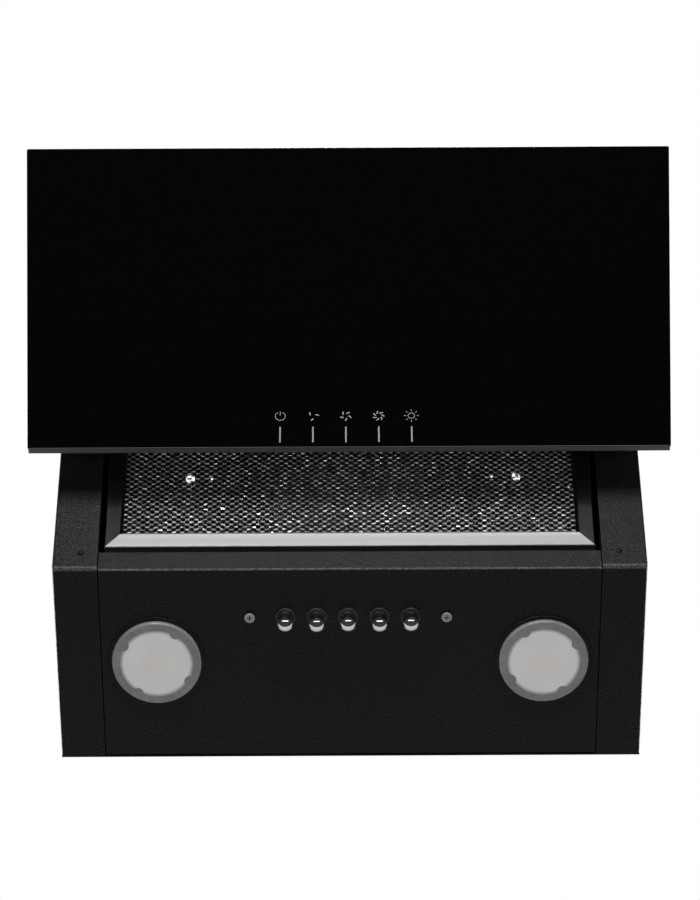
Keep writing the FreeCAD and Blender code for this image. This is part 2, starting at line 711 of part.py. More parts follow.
def make_touch_board():
    """Strip of indicator lights behind the printed symbols."""
    top = GLASS_FACE - GLASS_THICKNESS
    near = GLASS_START + BOARD_NEAR
    far = GLASS_START + BOARD_FAR
    return on_front(box(-BOARD_HALF_LENGTH, BOARD_HALF_LENGTH, near, far, top - BOARD_THICKNESS, top))


def hinge_hole(x0, x1):
    """Hole for a hinge pin through a piece that spans two X positions."""
    start = (x0 - 1, HINGE_ALONG, HINGE_OUT)
    return rod(HINGE_PIN_RADIUS + RUNNING_GAP, start, X_AXIS, x1 - x0 + 2)


def make_door_arm(side):
    """Arm from the glass tray to the hinge pin."""
    x0, x1 = sorted((side * (HINGE_X - ARM_HALF_WIDTH), side * (HINGE_X + ARM_HALF_WIDTH)))
    skin = GLASS_FACE - GLASS_THICKNESS - SHEET
    low = HINGE_ALONG - ARM_EYE_RADIUS
    high = HINGE_ALONG + ARM_EYE_RADIUS - 2
    arm = box(x0, x1, HINGE_ALONG - ARM_LENGTH, HINGE_ALONG, skin - ARM_THICKNESS, skin)
    lug = box(x0, x1, low, HINGE_ALONG + ARM_LUG_ABOVE, HINGE_OUT, skin)
    eye = rod(ARM_EYE_RADIUS, (x0, HINGE_ALONG, HINGE_OUT), X_AXIS, x1 - x0)
    eye = eye.common(box(x0, x1, low, high, HINGE_OUT - ARM_EYE_RADIUS, HINGE_OUT + ARM_EYE_RADIUS))
    return on_front(arm.fuse([lug, eye]).cut(hinge_hole(x0, x1)))


def make_hinge_bracket(side):
    """Two eared bracket on the upper front panel."""
    x0, x1 = sorted((side * (HINGE_X - HINGE_BRACKET_HALF), side * (HINGE_X + HINGE_BRACKET_HALF)))
    start = HINGE_ALONG - HINGE_BRACKET_BELOW
    end = HINGE_ALONG + HINGE_EAR_RADIUS
    bracket = box(x0, x1, start, end, 0, HINGE_SHEET)
    for ear in (x0, x1 - HINGE_SHEET):
        wall = box(ear, ear + HINGE_SHEET, start, end, HINGE_SHEET, HINGE_OUT)
        tip = rod(HINGE_EAR_RADIUS, (ear, HINGE_ALONG, HINGE_OUT), X_AXIS, HINGE_SHEET)
        bracket = bracket.fuse([wall, tip])
    return on_front(bracket.cut(hinge_hole(x0, x1)))


def make_hinge_pins():
    """Headed pins through the hinge brackets."""
    pins = []
    for side in (-1, 1):
        x0 = side * HINGE_X - HINGE_PIN_LENGTH / 2
        pin = rod(HINGE_PIN_RADIUS, (x0, HINGE_ALONG, HINGE_OUT), X_AXIS, HINGE_PIN_LENGTH)
        for start in (x0 - HINGE_PIN_HEAD, x0 + HINGE_PIN_LENGTH):
            head = rod(HINGE_PIN_RADIUS + 1.5, (start, HINGE_ALONG, HINGE_OUT), X_AXIS, HINGE_PIN_HEAD)
            pin = pin.fuse(head)
        pins.append(on_front(pin))
    return pins


def catch_disc(side, radius, height, length):
    """Disc on a catch's axis, in front face directions."""
    return rod(radius, (side * CATCH_X, CATCH_ALONG, height), Z_AXIS, length)


def make_catch_post(side):
    """Stand-off post on the cheek that carries a magnet."""
    post = catch_disc(side, CATCH_POST_RADIUS, 0, CATCH_HEIGHT)
    foot = catch_disc(side, CATCH_FOOT_RADIUS, 0, CATCH_FOOT_HEIGHT)
    return on_front(post.fuse(foot))


def make_catch_magnets():
    """Disc magnets on the posts."""
    return [on_front(catch_disc(side, MAGNET_RADIUS, CATCH_HEIGHT, MAGNET_THICKNESS)) for side in (-1, 1)]


def make_strike_plates():
    """Steel discs on the tray that meet the magnets."""
    thickness = GLASS_FACE - GLASS_THICKNESS - SHEET - STRIKE_START
    return [on_front(catch_disc(side, STRIKE_RADIUS, STRIKE_START, thickness)) for side in (-1, 1)]


# ---- blower ----
def scroll_block(grow, x0, x1):
    """Round scroll chamber with its upward outlet, pulled along X."""
    drum = rod(SCROLL_RADIUS + grow, (x0, SCROLL_Y, FAN_Z), X_AXIS, x1 - x0)
    half = OUTLET_HALF + grow
    neck = box(x0, x1, SCROLL_Y - half, SCROLL_Y + half, FAN_Z, BODY_HEIGHT - SHEET)
    return drum.fuse(neck)


def make_volute_half(side):
    """Half of the scroll housing with a round air inlet."""
    x0, x1 = sorted((0, side * SCROLL_HALF_WIDTH))
    h0, h1 = sorted((-side * 1.0, side * (SCROLL_HALF_WIDTH - SCROLL_WALL)))
    shell = scroll_block(0, x0, x1)
    cavity = scroll_block(-SCROLL_WALL, h0, h1)
    shell = shell.cut(cavity)
    return shell.cut(rod(INLET_RADIUS, (x0 - 1, FAN_Y, FAN_Z), X_AXIS, SCROLL_HALF_WIDTH + 2))


def make_impeller():
    """Squirrel cage wheel: hub disc, two end rings and a cage of blades."""
    half = WHEEL_HALF_WIDTH
    parts = [rod(WHEEL_RADIUS, (-WHEEL_DISC / 2, FAN_Y, FAN_Z), X_AXIS, WHEEL_DISC)]
    parts.append(rod(WHEEL_HUB_RADIUS, (WHEEL_HUB_START, FAN_Y, FAN_Z), X_AXIS, WHEEL_HUB_LENGTH))
    for start in (-half, half - WHEEL_BAND):
        parts.append(tube(WHEEL_RADIUS, WHEEL_INNER_RADIUS + 2, (start, FAN_Y, FAN_Z), X_AXIS, WHEEL_BAND))
    sheet = BLADE_SHEET / 2
    blade = box(-half, half, -sheet, sheet, WHEEL_INNER_RADIUS, WHEEL_RADIUS - 1)
    blade.rotate(Vector(0, 0, (WHEEL_INNER_RADIUS + WHEEL_RADIUS) / 2), X_AXIS, BLADE_TURN)
    for number in range(BLADE_COUNT):
        parts.append(round_fan_axis(blade, number * 360 / BLADE_COUNT))
    wheel = parts[0].fuse(parts[1:])
    return wheel.cut(rod(SHAFT_RADIUS, (-half - 10, FAN_Y, FAN_Z), X_AXIS, 2 * half + 20))


def round_fan_axis(shape, angle):
    """Copy of a shape drawn about the X axis, turned and moved to the fan's axis."""
    turned = shape.copy()
    turned.rotate(Vector(0, 0, 0), X_AXIS, angle)
    return turned.translated(Vector(0, FAN_Y, FAN_Z))


def make_motor_shaft():
    """Steel shaft that carries the rotor and the wheel."""
    start = MOTOR_LEFT - 4
    return rod(SHAFT_RADIUS, (start, FAN_Y, FAN_Z), X_AXIS, SHAFT_END - start)


def make_rotor():
    """Laminated rotor on the shaft."""
    return tube(ROTOR_RADIUS, SHAFT_RADIUS, (ROTOR_START, FAN_Y, FAN_Z), X_AXIS, ROTOR_LENGTH)


def make_stator():
    """Wound stator ring inside the motor can."""
    return tube(STATOR_RADIUS, STATOR_BORE, (STATOR_START, FAN_Y, FAN_Z), X_AXIS, STATOR_LENGTH)


def make_motor_can():
    """Drawn can round the motor, with a seat at each end for a bearing."""
    length = MOTOR_RIGHT - MOTOR_LEFT
    can = rod(MOTOR_RADIUS, (MOTOR_LEFT, FAN_Y, FAN_Z), X_AXIS, length)
    hollow_start = (MOTOR_LEFT + MOTOR_CAP, FAN_Y, FAN_Z)
    hollow = rod(MOTOR_RADIUS - MOTOR_WALL, hollow_start, X_AXIS, length - 2 * MOTOR_CAP)
    return can.cut(hollow).cut(rod(BEARING_RADIUS, (MOTOR_LEFT - 1, FAN_Y, FAN_Z), X_AXIS, length + 2))


def make_motor_bearings():
    """Sleeve bearings in the ends of the motor can."""
    bore = SHAFT_RADIUS + RUNNING_GAP
    starts = (MOTOR_LEFT, MOTOR_RIGHT - MOTOR_CAP)
    return [tube(BEARING_RADIUS, bore, (x, FAN_Y, FAN_Z), X_AXIS, MOTOR_CAP) for x in starts]


def make_motor_spider():
    """Three armed plate that hangs the motor in the inlet."""
    left = MOTOR_LEFT - SPIDER_SHEET
    half = SPIDER_ARM_HALF_WIDTH
    spider = tube(SPIDER_RADIUS, SPIDER_BORE, (left, FAN_Y, FAN_Z), X_AXIS, SPIDER_SHEET)
    arm = box(left, MOTOR_LEFT, -half, half, SPIDER_ARM_START, SPIDER_ARM_END)
    arms = [round_fan_axis(arm, number * 360 / SPIDER_ARMS) for number in range(SPIDER_ARMS)]
    return spider.fuse(arms)


def make_motor_grommets():
    """Rubber stand-offs between the spider and the scroll housing."""
    grommet = rod(GROMMET_RADIUS, (MOTOR_LEFT, 0, GROMMET_CIRCLE), X_AXIS, -SCROLL_HALF_WIDTH - MOTOR_LEFT)
    return [round_fan_axis(grommet, number * 360 / SPIDER_ARMS) for number in range(SPIDER_ARMS)]


# ---- outlet ----
def make_duct_collar():
    """Round spigot with a base flange, a flap stop and holes for the flap pin."""
    z0 = BODY_HEIGHT
    inner = COLLAR_RADIUS - COLLAR_WALL
    collar = tube(COLLAR_RADIUS, inner, (0, SCROLL_Y, z0), Z_AXIS, COLLAR_HEIGHT)
    flange = tube(COLLAR_RADIUS + COLLAR_FLANGE, inner, (0, SCROLL_Y, z0), Z_AXIS, COLLAR_FLANGE_SHEET)
    stop_start = (0, SCROLL_Y, z0 + COLLAR_STOP_Z)
    stop = tube(inner + 0.5, inner - COLLAR_STOP_WIDTH, stop_start, Z_AXIS, COLLAR_STOP_HEIGHT)
    pin_start = (-COLLAR_RADIUS - 1, SCROLL_Y, flap_pin_height())
    hole = rod(FLAP_PIN_RADIUS, pin_start, X_AXIS, 2 * COLLAR_RADIUS + 2)
    return collar.fuse([flange, stop]).cut(hole)


def flap_pin_height():
    """Height of the axis both flaps turn about."""
    return BODY_HEIGHT + FLAP_BASE + FLAP_PIN_RISE


def make_flap_pin():
    """Pin across the collar that both flaps hang on."""
    return rod(FLAP_PIN_RADIUS, (-COLLAR_RADIUS, SCROLL_Y, flap_pin_height()), X_AXIS, 2 * COLLAR_RADIUS)


def make_flap(side):
    """Half round non-return flap; side -1 is the front one."""
    z0 = BODY_HEIGHT + FLAP_BASE
    y0, y1 = sorted((side * FLAP_CLEARANCE, side * 2 * FLAP_RADIUS))
    disc = rod(FLAP_RADIUS, (0, 0, 0), Z_AXIS, FLAP_SHEET)
    flap = disc.common(box(-FLAP_RADIUS, FLAP_RADIUS, y0, y1, -1, 1 + FLAP_SHEET))
    flap = flap.translated(Vector(0, SCROLL_Y, z0))
    near, far = sorted((side * 1.8, side * (FLAP_CLEARANCE + 0.2)))
    for start in FRONT_KNUCKLES if side < 0 else BACK_KNUCKLES:
        web = box(start, start + KNUCKLE_LENGTH, SCROLL_Y + near, SCROLL_Y + far, z0, z0 + FLAP_SHEET)
        knuckle = rod(KNUCKLE_RADIUS, (start, SCROLL_Y, flap_pin_height()), X_AXIS, KNUCKLE_LENGTH)
        flap = flap.fuse([web, knuckle])
    hole_start = (-FLAP_RADIUS, SCROLL_Y, flap_pin_height())
    return flap.cut(rod(FLAP_PIN_RADIUS + RUNNING_GAP, hole_start, X_AXIS, 2 * FLAP_RADIUS))


# ---- electrical ----
def make_control_box():
    """Open fronted junction box on the back plate."""
    left = JUNCTION_LEFT
    right = left + JUNCTION_SIZE
    low = JUNCTION_BOTTOM
    high = low + JUNCTION_SIZE
    wall = JUNCTION_WALL
    body = box(left, right, -JUNCTION_DEPTH, -SHEET, low, high)
    return body.cut(box(left + wall, right - wall, -JUNCTION_DEPTH - 1, -SHEET - wall, low + wall, high - wall))


def make_control_box_lid():
    """Cover of the junction box with raised ribs."""
    front = -JUNCTION_DEPTH - JUNCTION_WALL
    low = JUNCTION_BOTTOM
    high = low + JUNCTION_SIZE
    lid = box(JUNCTION_LEFT, JUNCTION_LEFT + JUNCTION_SIZE, front, -JUNCTION_DEPTH, low, high)
    for number in range(RIB_COUNT):
        left = JUNCTION_LEFT + RIB_MARGIN - 2 + number * RIB_PITCH
        lid = lid.fuse(box(left, left + RIB_WIDTH, front - 1, front, low + RIB_MARGIN, high - RIB_MARGIN))
    return lid


def make_run_capacitor():
    """Motor capacitor on the back plate."""
    top = CAPACITOR_BOTTOM + CAPACITOR_LENGTH
    can = rod(CAPACITOR_RADIUS, (CAPACITOR_X, CAPACITOR_Y, CAPACITOR_BOTTOM), Z_AXIS, CAPACITOR_LENGTH)
    can = round_edges(can, 2, lambda p: True)
    for place in TERMINAL_PLACES:
        left = CAPACITOR_X + place
        can = can.fuse(box(left, left + 1, CAPACITOR_Y - 3, CAPACITOR_Y + 3, top - 0.5, top + 8))
    return can


def make_cable_gland():
    """Gland for the mains lead: hexagon, clamping nut and threaded body."""
    z0 = BODY_HEIGHT
    nut_start = z0 + GLAND_HEX_HEIGHT
    nut_end = nut_start + GLAND_NUT_HEIGHT
    low = z0 - GLAND_THREAD
    corners = [math.radians(60 * n) for n in range(6)]
    hexagon = [
        (GLAND_X + GLAND_HEX_RADIUS * math.cos(a), GLAND_Y + GLAND_HEX_RADIUS * math.sin(a)) for a in corners
    ]
    nut = rod(GLAND_NUT_RADIUS, (GLAND_X, GLAND_Y, nut_start), Z_AXIS, GLAND_NUT_HEIGHT)
    nut = round_edges(nut, 3, lambda p: p.z > nut_end - 0.1)
    body = rod(GLAND_RADIUS, (GLAND_X, GLAND_Y, low), Z_AXIS, GLAND_THREAD + 2)
    gland = plate(hexagon, z0, nut_start).fuse([nut, body])
    return gland.cut(rod(GLAND_BORE, (GLAND_X, GLAND_Y, low - 1), Z_AXIS, nut_end - low + 3))


def all_parts():
    """Every piece by node name."""
    parts = {
        "back_plate": make_back_plate(),
        "top_plate": make_top_plate(),
        "right_cheek": make_cheek(),
        "left_cheek": mirrored(make_cheek()),
        "bottom_panel": make_bottom_panel(),
        "front_upper_panel": make_front_upper_panel(),
        "inner_tray": make_inner_tray(),
        "cheek_rivets": make_cheek_rivets(),
        "button_bezels": make_button_bezels(),
        "switch_block": make_switch_block(),
        "switch_bracket": make_switch_bracket(),
        "panel_screws": make_panel_screws(),
        "filter_mesh": make_filter_mesh(),
        "filter_pull": make_filter_pull(),
        "filter_springs": make_filter_springs(),
        "glass_panel": make_glass_panel(),
        "glass_trim": make_glass_trim(),
        "glass_backing": make_glass_backing(),
        "touch_board": make_touch_board(),
        "hinge_pins": make_hinge_pins(),
        "catch_magnets": make_catch_magnets(),
        "strike_plates": make_strike_plates(),
        "impeller": make_impeller(),
        "motor_shaft": make_motor_shaft(),
        "motor_rotor": make_rotor(),
        "motor_stator": make_stator(),
        "motor_can": make_motor_can(),
        "motor_bearings": make_motor_bearings(),
        "motor_spider": make_motor_spider(),
        "motor_grommets": make_motor_grommets(),
        "duct_collar": make_duct_collar(),
        "flap_pin": make_flap_pin(),
        "front_flap": make_flap(-1),
        "back_flap": make_flap(1),
        "control_box": make_control_box(),
        "control_box_lid": make_control_box_lid(),
        "run_capacitor": make_run_capacitor(),
        "cable_gland": make_cable_gland(),
    }
    for name, side in (("left", -1), ("right", 1)):
        parts[name + "_lamp_ring"] = make_lamp_ring(side)
        parts[name + "_lamp_lens"] = make_lamp_lens(side)
        parts[name + "_lamp_housing"] = make_lamp_housing(side)
        parts[name + "_door_arm"] = make_door_arm(side)
        parts[name + "_volute_half"] = make_volute_half(side)
    parts["lamp_boards"] = [make_lamp_board(side) for side in (-1, 1)]
    parts["hinge_brackets"] = [make_hinge_bracket(side) for side in (-1, 1)]
    parts["catch_posts"] = [make_catch_post(side) for side in (-1, 1)]
    for name in ("bottom", "top", "left", "right"):
        parts["filter_rail_" + name] = make_filter_rail(name)
    for number in range(BUTTON_COUNT):
        parts["button_cap_%d" % (number + 1)] = make_button_cap(number)
    return parts


def save(name, shape):
    """Write one piece, with the origin moved to the wall fixing centre."""
    solids = shape if isinstance(shape, list) else [shape]
    shape = solids[0] if len(solids) == 1 else Part.makeCompound(solids)
    shape = shape.translated(Vector(0, 0, -FIXING_HEIGHT))
    shape.exportStep("parts/%s.step" % name)


os.makedirs("parts", exist_ok=True)
for part_name, part_shape in all_parts().items():
    save(part_name, part_shape)
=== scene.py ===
import json
import math
import bpy
import numpy as np
from mathutils import Matrix, Vector


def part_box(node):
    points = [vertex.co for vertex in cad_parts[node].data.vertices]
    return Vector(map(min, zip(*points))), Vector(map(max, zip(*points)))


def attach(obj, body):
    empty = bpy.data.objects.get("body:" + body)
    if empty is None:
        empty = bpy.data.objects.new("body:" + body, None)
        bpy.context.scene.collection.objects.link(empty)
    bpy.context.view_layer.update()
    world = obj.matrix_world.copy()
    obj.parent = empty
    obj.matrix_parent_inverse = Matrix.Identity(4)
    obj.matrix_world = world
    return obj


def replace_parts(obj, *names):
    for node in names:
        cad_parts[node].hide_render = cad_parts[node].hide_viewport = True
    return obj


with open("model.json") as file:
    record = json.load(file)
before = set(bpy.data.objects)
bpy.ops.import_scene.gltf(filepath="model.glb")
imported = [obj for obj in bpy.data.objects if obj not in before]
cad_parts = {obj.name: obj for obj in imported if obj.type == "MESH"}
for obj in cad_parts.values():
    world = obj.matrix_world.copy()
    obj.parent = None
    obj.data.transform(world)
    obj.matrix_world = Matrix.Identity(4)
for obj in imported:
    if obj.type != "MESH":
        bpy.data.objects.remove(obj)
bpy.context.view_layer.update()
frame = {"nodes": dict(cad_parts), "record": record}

# ---- places and sizes, all from the frame, in metres ----
MM = 0.001
SLOPE = math.radians(56.3)                       # front face above horizontal
FRONT_UP = Vector((0, -math.cos(SLOPE), math.sin(SLOPE)))
FRONT_OUT = Vector((0, -math.sin(SLOPE), -math.cos(SLOPE)))
BOTTOM_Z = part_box("bottom_panel")[0].z           # lowest point of the panel, at its lamp rims
FOLD = Vector((0, -0.169, BOTTOM_Z))             # near the fold between the bottom and front faces
RIGHT_LAMP = (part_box("right_lamp_lens")[0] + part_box("right_lamp_lens")[1]) / 2
FACE_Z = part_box("right_cheek")[0].z              # bottom face
SCREW_FACE_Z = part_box("panel_screws")[0].z       # lowest point of the screw heads


def along(point):
    """Distance of a point up the slope from the fold."""
    return (Vector(point) - FOLD).dot(FRONT_UP)


def outward(point):
    """Distance of a point out from the front face."""
    return (Vector(point) - FOLD).dot(FRONT_OUT)


def span(node):
    """Range of a node's vertices in (across, along the slope, outwards)."""
    points = [v.co for v in frame["nodes"][node].data.vertices]
    rows = [(p.x, along(p), outward(p)) for p in points]
    return [min(c) for c in zip(*rows)], [max(c) for c in zip(*rows)]


def front_point(x, s, n):
    """Frame position of a point given across, along the slope and outwards."""
    return Vector((x, 0, 0)) + FOLD + FRONT_UP * s + FRONT_OUT * n


FLOOR_BRIGHT_FROM = 1.15                         # Y of the floor's bright far part
FLOOR_BLEND = 0.08
FLOOR_GLOW = 0.54
STREAK_PITCH = 14.8 * MM                         # between the mesh's painted streaks of glints
STREAK_LEAN = 0.18                               # across for each unit up the slope
FOLD_HIGHLIGHT_REACH = (3.4 * MM, 2.6 * MM)                  # painted fold highlight fades in between these, behind the fold
FOLD_HIGHLIGHT_HEIGHT = (1.3 * MM, 0.8 * MM)           # and between these, above the bottom face
RECESS_SHADE_DEPTH = (0.5 * MM, 0.9 * MM)                    # depth in a screw head at which the painted shade begins and is full
LENS_CENTRE = Vector((RIGHT_LAMP.x, abs(RIGHT_LAMP.y), abs(RIGHT_LAMP.z)))
LENS_GLOW_WARM = (6 * MM, 17 * MM)                    # distances from a lamp's centre, for the painted glow and the rim
LENS_RIM = (26.6 * MM, 29.6 * MM)
LENS_GLOW_FADE = (26.5 * MM, 29.3 * MM)


# ---- material building blocks ----
class Surface:
    """A principled material with short calls for its procedural detail."""

    def __init__(self, name, color, metallic=0.0, roughness=0.5, **sockets):
        self.material = bpy.data.materials.new(name)
        self.material.use_nodes = True
        self.nodes = self.material.node_tree.nodes
        self.links = self.material.node_tree.links
        self.shader = self.nodes["Principled BSDF"]
        self.shader.inputs["Base Color"].default_value = (*color, 1)
        self.shader.inputs["Metallic"].default_value = metallic
        self.shader.inputs["Roughness"].default_value = roughness
        for socket, value in sockets.items():
            self.shader.inputs[socket.replace("_", " ")].default_value = value
        self.coords = self.nodes.new("ShaderNodeTexCoord").outputs["Object"]

    def space(self, scale=(1, 1, 1), turn=0.0, move=(0, 0, 0)):
        """Object coordinates, turned about X and then stretched."""
        turned = self.nodes.new("ShaderNodeMapping")
        turned.inputs["Location"].default_value = move
        turned.inputs["Rotation"].default_value = (turn, 0, 0)
        self.links.new(self.coords, turned.inputs["Vector"])
        stretched = self.nodes.new("ShaderNodeMapping")
        stretched.inputs["Scale"].default_value = scale
        self.links.new(turned.outputs["Vector"], stretched.inputs["Vector"])
        return stretched.outputs["Vector"]

    def noise(self, scale, detail=2.0, vector=None, roughness=0.5):
        """Noise value from 0 to 1."""
        node = self.nodes.new("ShaderNodeTexNoise")
        node.inputs["Scale"].default_value = scale
        node.inputs["Detail"].default_value = detail
        node.inputs["Roughness"].default_value = roughness
        self.links.new(vector or self.coords, node.inputs["Vector"])
        return node.outputs["Fac"]

    def cells(self, scale, vector=None, feature="F1"):
        """Voronoi distance and colour."""
        node = self.nodes.new("ShaderNodeTexVoronoi")
        node.feature = feature
        node.inputs["Scale"].default_value = scale
        self.links.new(vector or self.coords, node.inputs["Vector"])
        return node

    def levels(self, value, low, high, to_low=0.0, to_high=1.0):
        """A value range mapped to another, held at its ends."""
        node = self.nodes.new("ShaderNodeMapRange")
        node.inputs["From Min"].default_value = low
        node.inputs["From Max"].default_value = high
        node.inputs["To Min"].default_value = to_low
        node.inputs["To Max"].default_value = to_high
        self.links.new(value, node.inputs["Value"])
        return node.outputs["Result"]

    def color(self, value, first, second):
        """Base colour that runs from first to second with a value."""
        node = self.nodes.new("ShaderNodeMix")
        node.data_type = "RGBA"
        self.links.new(value, node.inputs["Factor"])
        node.inputs["A"].default_value = (*first, 1)
        node.inputs["B"].default_value = (*second, 1)
        self.links.new(node.outputs["Result"], self.shader.inputs["Base Color"])
        return self

    def tint(self, mask, color):
        """Lay another colour over the base colour where a mask is 1."""
        node = self.nodes.new("ShaderNodeMix")
        node.data_type = "RGBA"
        base = self.shader.inputs["Base Color"]
        self.links.new(mask, node.inputs["Factor"])
        self.links.new(base.links[0].from_socket, node.inputs["A"])
        node.inputs["B"].default_value = (*color, 1)
        self.links.new(node.outputs["Result"], base)
        return self

    def product(self, first, second):
        """Two values multiplied."""
        node = self.nodes.new("ShaderNodeMath")
        node.operation = "MULTIPLY"
        self.links.new(first, node.inputs[0])
        self.links.new(second, node.inputs[1])
        return node.outputs["Value"]

    def axis(self, name):
        """One of the object coordinates."""
        node = self.nodes.new("ShaderNodeSeparateXYZ")
        self.links.new(self.coords, node.inputs["Vector"])
        return node.outputs[name]

    def gloss(self, value, low, high):
        """Roughness that runs from low to high with a value."""
        self.links.new(self.levels(value, 0.3, 0.7, low, high), self.shader.inputs["Roughness"])
        return self

    def bump(self, *heights):
        """Bumps, each a (value, strength, depth in metres), one on another."""
        normal = None
        for value, strength, depth in heights:
            node = self.nodes.new("ShaderNodeBump")
            node.inputs["Strength"].default_value = strength
            node.inputs["Distance"].default_value = depth
            self.links.new(value, node.inputs["Height"])
            if normal:
                self.links.new(normal, node.inputs["Normal"])
            normal = node.outputs["Normal"]
        self.links.new(normal, self.shader.inputs["Normal"])
        return self


def powder_coat():
    """Fine textured black powder coat, with a painted highlight along the front fold."""
    coat = Surface("black_powder_coat", (0.012, 0.012, 0.013), roughness=0.42)
    coat.shader.inputs["Specular IOR Level"].default_value = 0.24
    grain = coat.noise(520, 3, roughness=0.7)
    coat.color(coat.levels(grain, 0.38, 0.7), (0.002, 0.002, 0.0022), (0.018, 0.0178, 0.018))
    # painted highlight: the coat is made paler along the fold, where light catches the bend
    in_front = coat.levels(coat.axis("Y"), *(FOLD.y + reach for reach in FOLD_HIGHLIGHT_REACH))
    low = coat.levels(coat.axis("Z"), *(FACE_Z + height for height in FOLD_HIGHLIGHT_HEIGHT))
    painted_fold_highlight = coat.product(coat.product(in_front, low), coat.levels(grain, 0.3, 0.6))
    coat.tint(painted_fold_highlight, (0.16, 0.16, 0.162))
    coat.gloss(grain, 0.42, 0.33)
    return coat.bump((grain, 0.9, 0.0007), (coat.noise(2200, 2), 0.2, 0.0001)).material


def black_glass():
    """Polished black glass with the faintest wipe marks and finely ground edges."""
    glass = Surface("black_glass", (0.0009, 0.0009, 0.001), roughness=0.03, IOR=1.45)
    wipe = glass.noise(9, 4, glass.space((1.0, 4.0, 4.0), turn=0.4))
    facing = glass.nodes.new("ShaderNodeVectorMath")
    facing.operation = "DOT_PRODUCT"
    facing.inputs[1].default_value = FRONT_OUT
    glass.links.new(glass.nodes["Texture Coordinate"].outputs["Normal"], facing.inputs[0])
    polished = glass.levels(facing.outputs["Value"], 0.2, 0.4)
    glass.color(polished, (0.090, 0.092, 0.096), (0.0009, 0.0009, 0.001))
    ground = glass.levels(polished, 0.0, 1.0, 0.5, 0.0)
    haze = glass.levels(wipe, 0.3, 0.7, 0.02, 0.06)
    total = glass.nodes.new("ShaderNodeMath")
    glass.links.new(ground, total.inputs[0])
    glass.links.new(haze, total.inputs[1])
    glass.links.new(total.outputs["Value"], glass.shader.inputs["Roughness"])
    return glass.bump((glass.noise(6, 1), 0.02, 0.0006)).material


def glass_edge():
    """Satin dark grey band round the back of the glass."""
    edge = Surface("glass_edge_band", (0.08, 0.08, 0.082), roughness=0.5)
    grain = edge.noise(900, 3)
    edge.color(edge.levels(grain, 0.3, 0.7), (0.070, 0.071, 0.073), (0.095, 0.095, 0.097))
    edge.gloss(edge.noise(30, 3), 0.45, 0.58)
    return edge.bump((grain, 0.2, 0.0002)).material


def brushed(name, color, lengthwise, rough=0.36, turn=0.0):
    """Brushed aluminium with fine lines along X, or up the slope."""
    metal = Surface(name, color, metallic=1.0, roughness=rough, Anisotropic=0.9)
    grain = metal.nodes.new("ShaderNodeTangent")
    grain.direction_type = "RADIAL"
    grain.axis = "X"
    metal.links.new(grain.outputs["Tangent"], metal.shader.inputs["Tangent"])
    metal.shader.inputs["Anisotropic Rotation"].default_value = 0.0 if lengthwise == "x" else 0.25
    long, fine = 6, 1800                         # lines per metre along and across the brushing
    stretch = (long, fine, fine) if lengthwise == "x" else (fine, long, fine)
    lines = metal.noise(1.0, 4, metal.space(stretch, turn=turn), roughness=0.7)
    broad = metal.noise(1.0, 2, metal.space(tuple(v / 9 for v in stretch), turn=turn))
    dark = tuple(c * 0.86 for c in color)
    metal.color(metal.levels(lines, 0.3, 0.72), dark, color)
    metal.gloss(broad, rough - 0.05, rough + 0.08)
    return metal.bump((lines, 0.18, 0.00008), (metal.noise(90, 3), 0.06, 0.0004)).material


def mesh_metal(name, light, painted_glint_streaks=False):
    """Cut aluminium strands with uneven glints, and optionally painted glints gathered in slanted streaks.
    """
    metal = Surface(name, (light, light, light), metallic=1.0, roughness=0.34)
    patch = metal.noise(160, 3)
    metal.color(metal.levels(patch, 0.35, 0.7), (0.7 * light,) * 3, (min(1.0, 1.3 * light),) * 3)
    if painted_glint_streaks:
        # painted glints: lighter, glossier bands that run in slanted streaks
        phase = metal.nodes.new("ShaderNodeVectorMath")
        phase.operation = "DOT_PRODUCT"
        across = Vector((1, 0, 0)) - FRONT_UP * STREAK_LEAN
        phase.inputs[1].default_value = across * 2 * math.pi / STREAK_PITCH
        metal.links.new(metal.coords, phase.inputs[0])
        band = metal.nodes.new("ShaderNodeMath")
        band.operation = "SINE"
        metal.links.new(phase.outputs["Value"], band.inputs[0])
        painted_streak = metal.levels(band.outputs["Value"], 0.1, 0.9)
        painted_glint = metal.product(painted_streak, metal.levels(metal.noise(420, 2), 0.42, 0.58))
        metal.tint(painted_glint, (1.0, 1.0, 1.0))
        metal.links.new(metal.levels(painted_glint, 0, 1, 0.42, 0.12), metal.shader.inputs["Roughness"])
    else:
        metal.gloss(metal.noise(700, 2), 0.22, 0.5)
    return metal.bump((metal.noise(1400, 2), 0.4, 0.0003)).material


def painted_glint_joint():
    """Melted aluminium with a painted glint: it glows brighter than the cut strands."""
    metal = Surface("painted_glint_joint", (0.96, 0.96, 0.96), metallic=1.0, roughness=0.3)
    painted_glint_spots = metal.cells(700).outputs["Distance"]
    metal.color(metal.levels(painted_glint_spots, 0.2, 0.6), (1.0, 1.0, 1.0), (0.5, 0.5, 0.5))
    # painted glint: emission makes the domes glow like sparkles of light
    metal.shader.inputs["Emission Color"].default_value = (1.0, 0.99, 0.97, 1)
    metal.links.new(metal.levels(painted_glint_spots, 0.3, 0.7, 1.7, 0.0), metal.shader.inputs["Emission Strength"])
    metal.gloss(metal.noise(900, 2), 0.2, 0.5)
    return metal.bump((metal.noise(1200, 2), 0.5, 0.0003)).material


def polished_chrome():
    """Mirror chrome with hairline scratches."""
    chrome = Surface("polished_chrome", (0.82, 0.82, 0.83), metallic=1.0, roughness=0.06)
    hair = chrome.noise(1.0, 3, chrome.space((300, 4000, 900)))
    chrome.color(chrome.levels(hair, 0.3, 0.7), (0.76, 0.76, 0.77), (0.88, 0.88, 0.89))
    chrome.gloss(chrome.noise(260, 2), 0.04, 0.12)
    return chrome.bump((hair, 0.05, 0.00004)).material


